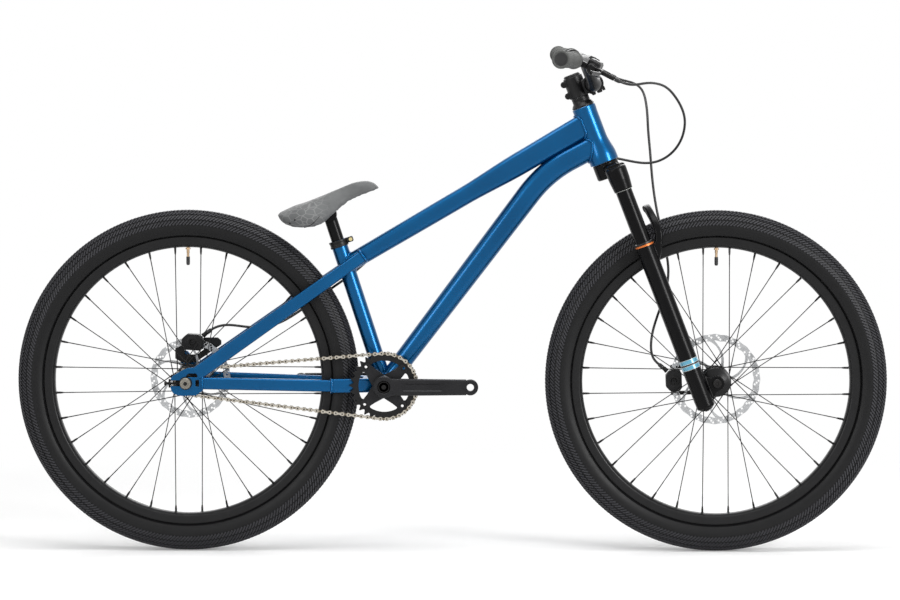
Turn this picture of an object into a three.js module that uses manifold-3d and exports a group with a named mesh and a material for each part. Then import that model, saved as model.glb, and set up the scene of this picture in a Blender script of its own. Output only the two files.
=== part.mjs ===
// A dirt jump bike with its wheels, suspension fork, single-speed drive and hydraulic disc brakes.
// Millimetres. X points forward, Y to the rider's left, Z up.
// The origin is on the ground, midway between the two axles.
import * as THREE from "three";
import { mergeVertices } from "three/addons/utils/BufferGeometryUtils.js";
import Module from "manifold-3d";

// Whole bike
const wheelbase = 1044;
const tyreOuterRadius = 337.5;
const tyreWidth = 58;
const tyreHeight = 60.5;
const headAngle = 69.05;
const headLength = 117;
const forkLength = 482.7;
const forkOffset = 51.7;
const tyreToBracket = 52;
const chainstayLength = tyreOuterRadius + tyreToBracket;
const bottomBracketDrop = 7.4;
const seatAngle = 71.9;
const seatTubeLength = 300;
const crankLength = 170;
const frontHubWidth = 100;
const rearHubWidth = 135;
const barWidth = 750;

// Gaps between pieces
const fitGap = 0.3;
const runningGap = 0.6;
const cutOverrun = 3;
const weldOverlap = 1.5;

// Faceting
const wheelSides = 28;
const tubeSides = 16;
const mediumSides = 12;
const smallSides = 8;
const hoseSides = 8;
const spokeSides = 3;

const degrees = Math.PI / 180;
const across = new THREE.Vector3(0, 1, 0);

// Frame tubes
const topTube = {
  seatDistance: 248,
  headDistance: 84,
  width: 36,
  height: 48,
  corner: 12,
  wall: 2.6,
};
const topTubeShares = { places: [0, 0.48, 0.72, 1], heights: [0.71, 0.76, 0.95, 1] };
const downTube = {
  width: 42,
  height: 46,
  shellHeight: 37,
  corner: 17,
  wall: 2.4,
  headDistance: 38,
  headSlope: 28,
  elbowReach: 116,
  bendRadius: 250,
  bendSteps: 3,
};
const seatTube = { radius: 15.9, bore: 13 };
const headTube = {
  topRadius: 23.4,
  waistRadius: 22.8,
  bottomRadius: 28.7,
  bore: 20.4,
  flareHeight: 52,
  lipHeight: 10,
  seatDepth: 8,
  topSeatRadius: 21.2,
  bottomSeatRadius: 26,
};
const shell = { radius: 21.5, bore: 17.5, width: 73 };
const yoke = {
  height: 28,
  tyreGap: 7,
  webInside: 24,
  waist: 56,
  waistInside: 32,
  waistOutside: 44.3,
  armBack: 106,
  shellSide: 35,
  shellBack: 24,
};
const chainstay = { width: 13, height: 24, corner: 4, wall: 1.8, start: 30, spread: 72, yokeSpread: 44.5 };
const seatstay = {
  width: 13,
  height: 28,
  corner: 4,
  wall: 1.8,
  slope: 35.2,
  startX: 21,
  startZ: 18,
  elbowX: 267,
  elbowSpread: 42,
  endX: 346,
  endSpread: 21.5,
};
const seatstayTopShare = 0.86;
const dropout = { thickness: 9, length: 64, height: 56, back: 30, slotHalf: 5.4, slotFront: 9 };
const dropoutOutlineShares = [
  [0, 0.3], [0.07, 0.1], [0.34, 0], [0.78, 0.02], [1, 0.2], [1, 0.64], [0.94, 0.9], [0.68, 1], [0.4, 0.93],
  [0.1, 0.73], [0, 0.58],
];
const dropoutWindowShares = [
  [[0.47, 0.66], [0.83, 0.66], [0.83, 0.79], [0.53, 0.79]],
  [[0.77, 0.33], [0.88, 0.33], [0.88, 0.57], [0.77, 0.57]],
];
const dropoutTabShares = [[0.14, 0.6], [0.12, 1.2], [0.25, 1.4], [0.42, 1.36], [0.55, 0.94]];
const dropoutAxleShare = 0.45;

// Seat
const collar = {
  radius: 18.4,
  height: 14,
  earLength: 13,
  earWidth: 15,
  earHeight: 11,
  slot: 2.4,
  boltRadius: 3,
};
const post = { radius: 12.7, bore: 9.5, insertion: 150, exposed: 53.5, headRadius: 15, headWidth: 26 };
const saddle = { length: 214, width: 120, depth: 54, tilt: 21.3, seatBack: 99, seatDrop: 38, tiltRoom: 8 };
const saddleShares = {
  places: [0, 0.03, 0.1, 0.2, 0.3, 0.39, 0.48, 0.56, 0.65, 0.75, 0.85, 0.92, 0.97, 1],
  tops: [-0.13, 0.02, 0.03, 0.03, 0, 0, 0, 0.01, 0.02, 0.03, 0.02, -0.05, -0.2, -0.45],
  lows: [-0.2, -0.42, -0.66, -0.86, -0.97, -0.97, -0.84, -0.7, -0.56, -0.5, -0.49, -0.51, -0.53, -0.53],
  widths: [0.25, 0.55, 0.8, 0.96, 1, 0.93, 0.76, 0.58, 0.44, 0.38, 0.37, 0.34, 0.27, 0.12],
};
const saddleSectionShares = [
  [0, 0.3], [0.7, 0.12], [0.86, 0], [1, 0.22], [0.97, 0.5], [0.8, 0.8], [0.5, 0.95], [0, 1],
];

// Steering
const steerer = { radius: 14.3, bore: 12, bottomRadius: 19.6, taperStart: 22, taperEnd: 62 };
const cover = { radius: 22.4, height: 9, neckRadius: 17.4, neckHeight: 11 };
const stem = {
  height: 42,
  radius: 19.5,
  reach: 34,
  drop: 6,
  clampRadius: 20.5,
  clampWidth: 46,
  faceGap: 3,
  neckWidth: 30,
  neckHeight: 30,
  steererDrop: 3,
  bossRadius: 6.5,
  bossBack: 21,
  bossWidth: 24,
  bossInset: 9,
};
const topCap = { radius: 17, height: 5, plugRadius: 11.4, plugDepth: 14 };
const bar = {
  clampRadius: 15.9,
  endRadius: 11.1,
  wall: 2.2,
  clampHalf: 36,
  bulgeEnd: 62,
  riseStart: 50,
  riseEnd: 118,
  rise: 50,
  bendRadius: 45,
  bendSteps: 2,
  upsweep: 5,
  backsweep: 9.5,
};
const grip = { radius: 15.6, length: 136, flangeRadius: 17.6, flangeWidth: 4, capDepth: 3 };
const lever = {
  clampInset: 149,
  clampWidth: 13,
  clampWall: 4.5,
  droop: 48,
  cylinderAhead: 38,
  cylinderRadius: 10.5,
  cylinderInboard: 36,
  cylinderOutboard: 16,
  neckWidth: 12,
  neckHeight: 15,
  reservoirHeight: 17,
  reservoirLength: 40,
  reservoirDepth: 26,
  earThickness: 3,
  earHeight: 14,
  pivotAhead: 54,
  pivotOut: 24,
  pivotRadius: 2.6,
  bladeWidth: 10,
  bladeThickness: 5,
  bladeBelly: 7,
  bladeReach: 92,
  bladeHook: 5,
  bladeCorner: 2,
  bladeBend: 14,
  hubRadius: 6,
  outletRadius: 4.4,
  outletAhead: 80,
  outletInset: 6,
};

// Suspension fork, measured along and ahead of the steering axis
const leg = {
  ahead: 15,
  spread: 63,
  radius: 18.3,
  bottom: 42,
  wiperTop: 171,
  boreFloor: 62,
  lugThickness: 12,
  lugRadius: 15,
  footRadius: 12,
};
const stanchion = { radius: 16, bore: 13.5, overlap: 172 };
const crown = {
  bossRadius: 25.5,
  bossDrop: 32,
  socketTop: 14,
  socketBottom: 62,
  socketRadius: 21.2,
  socketMouth: 18.6,
  bridgeWidth: 34,
  bridgeTop: 6,
  bridgeBottom: 30,
};
const wiper = { height: 4.5, lip: 0.7 };
const arch = {
  top: 112,
  topAhead: 45,
  shoulderDrop: 142,
  shoulderSpread: 50,
  footDrop: 194,
  ahead: 50,
  thickness: 17,
  height: 15,
  steps: 10,
};

// Brakes
const rotor = {
  frontRadius: 90,
  rearRadius: 80,
  thickness: 1.9,
  band: 15,
  hubRadius: 24,
  armWidth: 7,
  arms: 6,
  hole: 17,
  sides: 20,
};
const rotorInset = { front: 10.5, rear: 15.3 };
const caliper = {
  length: 44,
  height: 32,
  width: 28,
  bevel: 6,
  slot: 3.2,
  slotRoom: 1.5,
  padRadiusInset: 8,
  pistonRadius: 9,
  pistonRise: 2,
  banjoHeight: 8,
  banjoInset: 6,
  tabLength: 8,
  tabWidth: 12,
  tabInset: 8,
  tabReach: 44,
  tabTop: 6,
};
const bracket = { thickness: 8, bossRadius: 7, tabShare: [0.28, 1.17] };
const bracketOutline = [[-31, 34], [-31, 62], [32, 80], [58, 80], [62, 66], [30, 44], [10, 31], [-10, 28]];
const hose = {
  radius: 2.5,
  portRadius: 4,
  collarRadius: 4.4,
  collarLength: 14,
  endGap: 1,
  rearSteps: 50,
  frontSteps: 36,
};
const frontCaliperAngle = 161;
const rearCaliperAngle = 86;

// Wheels
const rim = {
  depth: 13,
  flangeRise: 8,
  width: 32,
  bedWidth: 26,
  spokeBedWidth: 18,
  shoulderHeight: 6,
};
const rimBed = tyreOuterRadius - tyreHeight;
const rimInner = rimBed - rim.depth;
const tyreOutsideShares = [[0, 0.43], [0.145, 0.52], [0.46, 0.985], [0.775, 0.88], [1, 0.28]];
const tyreInsideShares = [[0.875, 0.3], [0.46, 0.83], [0, 0.33]];
const valve = { radius: 3, length: 36, capRadius: 3.8, capLength: 17, baseRadius: 6, baseHeight: 2.5 };
const spoke = { count: 32, radius: 1.15, crosses: 3, crossOffset: 1.35, rimOffset: 3 };
const hub = {
  flangeRadius: 29,
  flangeThickness: 6.4,
  shellRadius: 17,
  holeInset: 3,
  seatRadius: 22,
  endRadius: 12,
  spigotReach: 2,
  shoulder: 4,
};
const frontHub = { width: frontHubWidth, left: 22, right: 34, driveRadius: 12 };
const rearHub = { width: rearHubWidth, left: 33, right: 30, driveRadius: 9.5 };
const axle = { frontRadius: 6, rearRadius: 5, headRadius: 11, headHeight: 7, nutRadius: 9 };
const tensioner = {
  ringRadius: 10,
  thickness: 4,
  screwRadius: 2.5,
  screwReach: 37,
  plateHeight: 17,
  plateThickness: 3,
};

// Drive
const chain = {
  pitch: 12.7,
  rollerRadius: 3.8,
  rollerSides: 3,
  innerWidth: 3.5,
  plateThickness: 2.4,
  plateHeight: 8.4,
  line: 50,
  ringLinks: 17,
  cogLinks: 5,
  runLinks: 31,
};
const chainring = { teeth: 32, thickness: 2.8, innerRadius: 46, toothRise: 3.4 };
const cog = { teeth: 12, thickness: 2.8, driverRadius: 15.5, driverBack: 12, driverFront: 6, toothRise: 3.2 };
const toothRootShare = 0.3;
const crank = {
  spindleRadius: 12,
  bossRadius: 22,
  bossInside: 46,
  bossOutside: 77,
  armThickness: 14,
  armInside: 66,
  rootHeight: 34,
  tipHeight: 31,
  eyeRadius: 7.15,
  eyeFaceRadius: 12,
  reliefDepth: 2,
  reliefShare: 0.32,
  spiderRadius: 58,
  spiderThickness: 4.5,
  spiderArmWidth: 19,
  spiderArms: 4,
  spiderTurn: 43,
};
const bearingCup = { radius: 22, height: 8.5, sleeveDepth: 13 };

// Finishes
const finishes = {
  blue: [0x1d659b, 0.32, 0.55],
  black: [0x141416, 0.38, 0.5],
  gloss: [0x0b0b0d, 0.16, 0.4],
  rubber: [0x1b1c1f, 0.85, 0],
  tyre: [0x222326, 0.9, 0],
  steel: [0xa9abad, 0.32, 1],
  nickel: [0xb7b0a2, 0.35, 1],
  orange: [0xd9772b, 0.45, 0.2],
  leather: [0x5b5d60, 0.7, 0],
  grey: [0x3c3d40, 0.5, 0.4],
};
const materials = {};
for (const [name, [color, roughness, metalness]] of Object.entries(finishes)) {
  materials[name] = new THREE.MeshStandardMaterial({ name, color, roughness, metalness });
}

const wasm = await Module();
wasm.setup();

// Places of the main pieces, from the driving dimensions
const rearAxle = new THREE.Vector3(-wheelbase / 2, 0, tyreOuterRadius);
const frontAxle = new THREE.Vector3(wheelbase / 2, 0, tyreOuterRadius);
const bottomBracket = new THREE.Vector3(
  rearAxle.x + Math.sqrt(chainstayLength ** 2 - bottomBracketDrop ** 2),
  0,
  tyreOuterRadius - bottomBracketDrop,
);
const steerDown = new THREE.Vector3(Math.cos(headAngle * degrees), 0, -Math.sin(headAngle * degrees));
const steerAhead = new THREE.Vector3(Math.sin(headAngle * degrees), 0, Math.cos(headAngle * degrees));
const headBottom = frontAxle
  .clone()
  .addScaledVector(steerDown, -forkLength)
  .addScaledVector(steerAhead, -forkOffset);
const seatUp = new THREE.Vector3(-Math.cos(seatAngle * degrees), 0, Math.sin(seatAngle * degrees));
const seatTop = alongFrom(bottomBracket, seatUp, seatTubeLength);

function alongFrom(start, direction, distance) {
  return start.clone().addScaledVector(direction, distance);
}

// A closed geometry as a solid that can be joined and cut.
function solid(geometry) {
  const bare = geometry.clone();
  bare.deleteAttribute("normal");
  bare.deleteAttribute("uv");
  const merged = mergeVertices(bare);
  return new wasm.Manifold(
    new wasm.Mesh({
      numProp: 3,
      vertProperties: new Float32Array(merged.attributes.position.array),
      triVerts: new Uint32Array(merged.index.array),
    }),
  );
}

// A solid as a geometry again, with flat faces.
function geometryOf(shape) {
  const mesh = shape.getMesh();
  const geometry = new THREE.BufferGeometry();
  geometry.setAttribute("position", new THREE.BufferAttribute(new Float32Array(mesh.vertProperties), 3));
  geometry.setIndex(new THREE.BufferAttribute(new Uint32Array(mesh.triVerts), 1));
  const flat = geometry.toNonIndexed();
  flat.computeVertexNormals();
  return flat;
}

function joined(...shapes) {
  return shapes.reduce((whole, shape) => whole.add(shape));
}

function cut(whole, ...tools) {
  return tools.reduce((rest, tool) => rest.subtract(tool), whole);
}

function meshOf(name, shape, material) {
  const mesh = new THREE.Mesh(geometryOf(shape), material);
  mesh.name = name;
  return mesh;
}

// A body turned about Z from a closed profile of [radius, height] points.
function turned(profile, sides) {
  const points = profile.map(([radius, height]) => new THREE.Vector2(radius, height));
  if (THREE.ShapeUtils.isClockWise(points)) points.reverse();
  points.push(points[0].clone());
  const geometry = new THREE.LatheGeometry(points, sides);
  geometry.rotateX(Math.PI / 2);
  return geometry;
}

// The same, turned about the Y axis as a wheel is, with one row of corners straight up.
function wheelTurned(profile, sides) {
  return turned(profile, sides).rotateX(-Math.PI / 2);
}

function disc(radius, low, high, sides = tubeSides) {
  return turned([[0, low], [radius, low], [radius, high], [0, high]], sides);
}

function pipe(outer, inner, low, high, sides = tubeSides) {
  return turned([[inner, low], [outer, low], [outer, high], [inner, high]], sides);
}

function crossDisc(radius, low, high, sides = tubeSides) {
  return disc(radius, low, high, sides).rotateX(-Math.PI / 2);
}

function crossPipe(outer, inner, low, high, sides = tubeSides) {
  return pipe(outer, inner, low, high, sides).rotateX(-Math.PI / 2);
}

// A flat outline in X and Z, given its thickness along Y from low to high.
function plate(outline, low, high, holes = []) {
  const shape = new THREE.Shape(outline);
  shape.holes = holes.map((hole) => new THREE.Path(hole));
  const geometry = new THREE.ExtrudeGeometry(shape, { depth: high - low, steps: 1, bevelEnabled: false });
  geometry.rotateX(Math.PI / 2);
  geometry.translate(0, high, 0);
  return geometry;
}

function block(lengthX, lengthY, lengthZ, x, y, z) {
  return new THREE.BoxGeometry(lengthX, lengthY, lengthZ).translate(x, y, z);
}

function circlePoints(radius, sides, x = 0, z = 0, turn = 0) {
  return Array.from({ length: sides }, (_, index) => {
    const angle = turn + (index * 2 * Math.PI) / sides;
    return new THREE.Vector2(x + radius * Math.cos(angle), z + radius * Math.sin(angle));
  });
}

// A rectangle with its corners cut off straight.
function roundedBox(width, height, corner) {
  const points = [];
  const centres = [[1, 1], [-1, 1], [-1, -1], [1, -1]];
  centres.forEach(([right, up], quarter) => {
    for (const step of [0, 1]) {
      const angle = ((quarter + step) * Math.PI) / 2;
      const x = right * (width / 2 - corner) + corner * Math.cos(angle);
      const y = up * (height / 2 - corner) + corner * Math.sin(angle);
      points.push(new THREE.Vector2(x, y));
    }
  });
  return points;
}

// Points along straight legs with the inner corners rounded to a radius.
function roundedPath(corners, radius, steps) {
  const points = [corners[0]];
  for (let index = 1; index < corners.length - 1; index += 1) {
    const here = corners[index];
    const back = corners[index - 1].clone().sub(here).normalize();
    const ahead = corners[index + 1].clone().sub(here).normalize();
    const half = back.angleTo(ahead) / 2;
    const reach = radius / Math.tan(half);
    const curve = new THREE.QuadraticBezierCurve3(
      alongFrom(here, back, reach),
      here,
      alongFrom(here, ahead, reach),
    );
    points.push(...curve.getPoints(steps));
  }
  points.push(corners[corners.length - 1]);
  return points;
}

// A section carried along a line of points. The section's X follows the side vector.
function swept(outline, points, { holes = [], scaleAt = () => [1, 1], side = across } = {}) {
  const last = points.length - 1;
  const shape = new THREE.Shape(outline);
  shape.holes = holes.map((hole) => new THREE.Path(hole));
  const geometry = new THREE.ExtrudeGeometry(shape, { depth: last, steps: last, bevelEnabled: false });
  const frames = framesAlong(points, side);
  const place = geometry.attributes.position;
  for (let index = 0; index < place.count; index += 1) {
    const step = Math.round(place.getZ(index));
    const [wide, tall] = scaleAt(step / last, points[step]);
    const at = points[step]
      .clone()
      .addScaledVector(frames[step].right, place.getX(index) * wide)
      .addScaledVector(frames[step].up, place.getY(index) * tall);
    place.setXYZ(index, at.x, at.y, at.z);
  }
  return geometry;
}

function framesAlong(points, side) {
  const last = points.length - 1;
  const right = side.clone();
  return points.map((point, index) => {
    const before = point.clone().sub(points[Math.max(index - 1, 0)]).normalize();
    const after = points[Math.min(index + 1, last)].clone().sub(point).normalize();
    const tangent = before.add(after).normalize();
    right.addScaledVector(tangent, -right.dot(tangent)).normalize();
    return { right: right.clone(), up: tangent.clone().cross(right) };
  });
}

// The low and high ends along Y of something that lies between two distances from the middle, on one side.
function onSide(side, inside, outside) {
  return side > 0 ? [inside, outside] : [-outside, -inside];
}

function frameOf(up, ahead, origin) {
  return new THREE.Matrix4().makeBasis(ahead, across, up).setPosition(origin);
}

const steerUp = steerDown.clone().negate();
const steeringFrame = frameOf(steerUp, steerAhead, headBottom);
const seatAhead = new THREE.Vector3().crossVectors(across, seatUp);
const seatFrame = frameOf(seatUp, seatAhead, seatTop);

// Frame of welded tubes
function headEnvelope() {
  const grown = (radius) => radius + fitGap;
  return solid(
    turned(
      [
        [0, -cutOverrun],
        [grown(headTube.bottomRadius), -cutOverrun],
        [grown(headTube.bottomRadius), headTube.lipHeight],
        [grown(headTube.waistRadius), headTube.flareHeight],
        [grown(headTube.topRadius), headLength],
        [grown(headTube.topRadius), headLength + cutOverrun],
        [0, headLength + cutOverrun],
      ],
      tubeSides,
    ).applyMatrix4(steeringFrame),
  );
}

function makeHeadTube() {
  return solid(
    turned(
      [
        [headTube.bottomSeatRadius, 0],
        [headTube.bottomRadius, 0],
        [headTube.bottomRadius, headTube.lipHeight],
        [headTube.waistRadius, headTube.flareHeight],
        [headTube.topRadius, headLength],
        [headTube.topSeatRadius, headLength],
        [headTube.topSeatRadius, headLength - headTube.seatDepth],
        [headTube.bore, headLength - headTube.seatDepth],
        [headTube.bore, headTube.flareHeight],
        [headTube.bottomSeatRadius - headTube.seatDepth / 2, headTube.seatDepth],
        [headTube.bottomSeatRadius, headTube.seatDepth],
      ],
      tubeSides,
    ).applyMatrix4(steeringFrame),
  );
}

function shellEnvelope() {
  const radius = shell.radius + fitGap;
  const half = shell.width / 2 + cutOverrun;
  return solid(crossDisc(radius, -half, half).translate(...bottomBracket.toArray()));
}

// The value at a share of the way through a table of places and values.
function between(places, values, share) {
  const reached = places.findIndex((place) => place >= Math.min(share, 1));
  const index = Math.max(1, reached);
  const part = (share - places[index - 1]) / (places[index] - places[index - 1]);
  return THREE.MathUtils.lerp(values[index - 1], values[index], part);
}

function topTubeEnds() {
  return [
    alongFrom(bottomBracket, seatUp, topTube.seatDistance),
    alongFrom(headBottom, steerUp, topTube.headDistance),
  ];
}

function topTubeSolid(grow) {
  const [start, end] = topTubeEnds();
  const { places, heights } = topTubeShares;
  const points = places.map((share) => start.clone().lerp(end, share));
  const tall = (share, point) => between(places, heights, point.distanceTo(start) / end.distanceTo(start));
  const outline = roundedBox(topTube.width + 2 * grow, topTube.height + 2 * grow, topTube.corner);
  const inside = roundedBox(
    topTube.width - 2 * topTube.wall,
    topTube.height - 2 * topTube.wall,
    topTube.corner - topTube.wall,
  );
  return solid(
    swept(outline, points, { holes: grow > 0 ? [] : [inside], scaleAt: (...at) => [1, tall(...at)] }),
  );
}

function downTubePath() {
  const end = alongFrom(headBottom, steerUp, downTube.headDistance);
  const slope = downTube.headSlope * degrees;
  const approach = new THREE.Vector3(-Math.cos(slope), 0, -Math.sin(slope));
  const elbow = alongFrom(end, approach, downTube.elbowReach);
  return roundedPath([bottomBracket, elbow, end], downTube.bendRadius, downTube.bendSteps);
}

function makeDownTube() {
  const path = downTubePath();
  const elbow = path[1];
  const shellShare = downTube.shellHeight / downTube.height;
  const straight = elbow.distanceTo(bottomBracket);
  const tall = (_, point) =>
    THREE.MathUtils.lerp(shellShare, 1, Math.min(1, point.distanceTo(bottomBracket) / straight));
  const outline = roundedBox(downTube.width, downTube.height, downTube.corner);
  const inside = roundedBox(
    downTube.width - 2 * downTube.wall,
    downTube.height - 2 * downTube.wall,
    downTube.corner - downTube.wall,
  );
  const tube = solid(swept(outline, path, { holes: [inside], scaleAt: (...at) => [1, tall(...at)] }));
  return cut(tube, headEnvelope(), shellEnvelope(), topTubeSolid(fitGap), seatTubeEnvelope());
}

function seatTubeEnvelope() {
  const radius = seatTube.radius + fitGap;
  return solid(disc(radius, -seatTubeLength, cutOverrun).applyMatrix4(seatFrame));
}

function makeSeatTube() {
  const tube = solid(pipe(seatTube.radius, seatTube.bore, -seatTubeLength, 0).applyMatrix4(seatFrame));
  return cut(tube, shellEnvelope(), yokeSolid(fitGap));
}

function makeTopTube(hosePassage) {
  return cut(topTubeSolid(0), headEnvelope(), seatTubeEnvelope(), topTubeTail(), hosePassage);
}

// The part of the top tube's run that would stand out behind the seat tube.
function topTubeTail() {
  const size = topTube.height;
  const behind = seatTube.radius + fitGap;
  const [start] = topTubeEnds();
  const box = block(size, 2 * size, 2 * size, -behind - size / 2, 0, 0);
  return solid(box.applyMatrix4(frameOf(seatUp, seatAhead, start)));
}

// The forged yoke that carries the chainstays past the tyre.
function yokeSolid(grow) {
  const ends = [chainstay.yokeSpread - chainstay.width / 2, chainstay.yokeSpread + chainstay.width / 2];
  const side = [
    [0, yoke.shellSide],
    [-yoke.shellBack, yoke.shellSide],
    [-yoke.waist, yoke.waistOutside],
    [-yoke.armBack, ends[1]],
    [-yoke.armBack, ends[0]],
    [-yoke.waist, yoke.waistInside],
    [yoke.tyreGap - tyreToBracket, yoke.webInside],
  ];
  const whole = [...side, ...side.map(([x, y]) => [x, -y]).reverse()];
  const outline = whole.map(([x, y]) => new THREE.Vector2(x, y));
  const arms = new THREE.ExtrudeGeometry(new THREE.Shape(outline), {
    depth: yoke.height + 2 * grow,
    steps: 1,
    bevelEnabled: false,
  });
  return solid(arms.translate(bottomBracket.x, 0, bottomBracket.z - yoke.height / 2 - grow));
}

function makeBottomBracketShell() {
  const half = shell.width / 2;
  const place = bottomBracket.toArray();
  const bore = crossDisc(shell.bore, -half - cutOverrun, half + cutOverrun);
  const tube = crossDisc(shell.radius, -half, half);
  return cut(joined(solid(tube.translate(...place)), yokeSolid(0)), solid(bore.translate(...place)));
}

function dropoutPoint([lengthShare, heightShare]) {
  return new THREE.Vector2(
    lengthShare * dropout.length - dropout.back,
    (heightShare - dropoutAxleShare) * dropout.height,
  );
}

// One dropout plate. The left one has the tab that the brake is bolted to.
function makeDropout(side, grow = 0) {
  const half = dropout.thickness / 2 + grow;
  const [low, high] = onSide(side, chainstay.spread - half, chainstay.spread + half);
  const outline = dropoutOutlineShares.map(dropoutPoint);
  const windows = dropoutWindowShares.map((window) => window.map(dropoutPoint));
  let body = solid(plate(outline, low, high, grow > 0 ? [] : windows));
  if (side > 0) body = joined(body, solid(plate(dropoutTabShares.map(dropoutPoint), low, high)));
  const slotLength = dropout.back + dropout.slotFront + cutOverrun;
  const slot = block(
    slotLength,
    dropout.thickness + 2 * cutOverrun,
    2 * dropout.slotHalf,
    dropout.slotFront - slotLength / 2,
    side * chainstay.spread,
    0,
  );
  return cut(body, solid(slot)).translate(rearAxle.toArray());
}

function stayTube(points, height, grow, scaleAt) {
  const outline = roundedBox(chainstay.width + 2 * grow, height + 2 * grow, chainstay.corner);
  const inside = roundedBox(
    chainstay.width - 2 * chainstay.wall,
    height - 2 * chainstay.wall,
    chainstay.corner - chainstay.wall,
  );
  return solid(swept(outline, points, { holes: grow > 0 ? [] : [inside], scaleAt }));
}

function chainstaySolid(side, grow) {
  const yokeEnd = bottomBracket.x - yoke.armBack - fitGap;
  const points = [
    new THREE.Vector3(rearAxle.x + chainstay.start, side * chainstay.spread, rearAxle.z),
    new THREE.Vector3(yokeEnd, side * chainstay.yokeSpread, bottomBracket.z),
  ];
  return stayTube(points, chainstay.height, grow);
}

function makeChainstay(side) {
  const yokeFace = block(
    yoke.armBack,
    shell.width * 2,
    yoke.height * 2,
    bottomBracket.x - yoke.armBack / 2 - fitGap,
    0,
    bottomBracket.z,
  );
  return cut(chainstaySolid(side, 0), makeDropout(side, fitGap), solid(yokeFace));
}

function makeSeatstay(side) {
  const rise = Math.tan(seatstay.slope * degrees);
  const at = (x, spread) =>
    new THREE.Vector3(
      rearAxle.x + x,
      side * spread,
      rearAxle.z + seatstay.startZ + (x - seatstay.startX) * rise,
    );
  const points = [
    at(seatstay.startX, chainstay.spread),
    at(seatstay.elbowX, seatstay.elbowSpread),
    at(seatstay.endX, seatstay.endSpread),
  ];
  const taper = (share) => [1, THREE.MathUtils.lerp(1, seatstayTopShare, share)];
  const tube = stayTube(points, seatstay.height, 0, taper);
  return cut(
    tube,
    topTubeSolid(fitGap),
    seatTubeEnvelope(),
    makeDropout(side, fitGap),
    chainstaySolid(side, fitGap),
  );
}

// Seat, in the seat tube's frame with its origin at the tube's top
function makeCollar() {
  const ring = solid(pipe(collar.radius, seatTube.radius + fitGap, -collar.height, 0));
  const earX = collar.radius + collar.earLength / 2 - weldOverlap;
  const earZ = -collar.earHeight / 2;
  const ear = solid(block(collar.earLength, collar.earWidth, collar.earHeight, earX, 0, earZ));
  const slotLength = collar.earLength + collar.radius;
  const slotX = seatTube.bore + slotLength / 2;
  const slot = solid(block(slotLength, collar.slot, 2 * collar.height, slotX, 0, 0));
  const reach = collar.earWidth / 2 + weldOverlap;
  const bolt = crossDisc(collar.boltRadius, -reach, reach, smallSides);
  return joined(cut(joined(ring, ear), slot), solid(bolt.translate(earX + weldOverlap, 0, earZ)));
}

function makePost() {
  const neck = post.exposed - post.headRadius / 2;
  const tube = solid(pipe(post.radius, post.bore, -post.insertion, neck));
  const half = post.headWidth / 2;
  return joined(tube, solid(crossDisc(post.headRadius, -half, half).translate(0, 0, post.exposed)));
}

// The saddle's origin is the middle of the post's head, and X runs along its top towards the nose.
function makeSaddle() {
  const { places, tops, lows, widths } = saddleShares;
  const otherSide = saddleSectionShares.slice(1, -1).reverse().map(([x, y]) => [-x, y]);
  const section = [...saddleSectionShares, ...otherSide];
  const outline = section.map(([x, y]) => new THREE.Vector2(x, y));
  const last = places.length - 1;
  const geometry = new THREE.ExtrudeGeometry(new THREE.Shape(outline), {
    depth: last,
    steps: last,
    bevelEnabled: false,
  });
  const place = geometry.attributes.position;
  for (let index = 0; index < place.count; index += 1) {
    const step = Math.round(place.getZ(index));
    const high = THREE.MathUtils.lerp(lows[step], tops[step], place.getY(index));
    place.setXYZ(
      index,
      places[step] * saddle.length - saddle.seatBack,
      (place.getX(index) * widths[step] * saddle.width) / 2,
      high * saddle.depth + saddle.seatDrop,
    );
  }
  const halfHead = post.headWidth / 2 + fitGap;
  const head = solid(crossDisc(post.headRadius + fitGap, -halfHead, halfHead));
  const neckRoom = post.radius + saddle.tiltRoom;
  const room = solid(block(2 * neckRoom, 2 * halfHead, saddle.depth, 0, 0, -saddle.depth / 2));
  return cut(solid(geometry), head, room);
}

// Steering, in the fork's frame: origin at the head tube's lower end, Z up the steering axis, X ahead
const coverBottom = headLength + runningGap;
const stemBottom = coverBottom + cover.height + cover.neckHeight + fitGap;
const stemTop = stemBottom + stem.height;
const steererTop = stemTop - stem.steererDrop;
const clampHeight = (stemBottom + stemTop) / 2 - stem.drop;

function makeBearing(inside, outside, low) {
  return solid(pipe(outside - fitGap, inside + runningGap, low, low + headTube.seatDepth - fitGap));
}

function makeSteerer() {
  return solid(
    turned(
      [
        [steerer.bore, -crown.bossDrop],
        [steerer.bottomRadius, -crown.bossDrop],
        [steerer.bottomRadius, steerer.taperStart],
        [steerer.radius, steerer.taperEnd],
        [steerer.radius, steererTop],
        [steerer.bore, steererTop],
      ],
      tubeSides,
    ),
  );
}

function makeCover() {
  const bore = steerer.radius + fitGap;
  const shoulder = coverBottom + cover.height;
  return solid(
    turned(
      [
        [bore, coverBottom],
        [cover.radius, coverBottom],
        [cover.radius, coverBottom + cover.height / 3],
        [cover.neckRadius, shoulder],
        [cover.neckRadius, shoulder + cover.neckHeight],
        [bore, shoulder + cover.neckHeight],
      ],
      tubeSides,
    ),
  );
}

function barBore() {
  const half = stem.clampWidth / 2 + cutOverrun;
  return solid(crossDisc(bar.clampRadius + fitGap, -half, half).translate(stem.reach, 0, clampHeight));
}

// The space ahead of the split between the stem and its faceplate, or behind it, with the split itself.
function stemHalf(ahead) {
  const size = 4 * stem.clampRadius;
  const direction = ahead ? 1 : -1;
  const x = stem.reach + (direction * (size - stem.faceGap)) / 2;
  return solid(block(size, size, size, x, 0, clampHeight));
}

function stemClamp() {
  const half = stem.clampWidth / 2;
  return solid(crossDisc(stem.clampRadius, -half, half).translate(stem.reach, 0, clampHeight));
}

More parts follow.
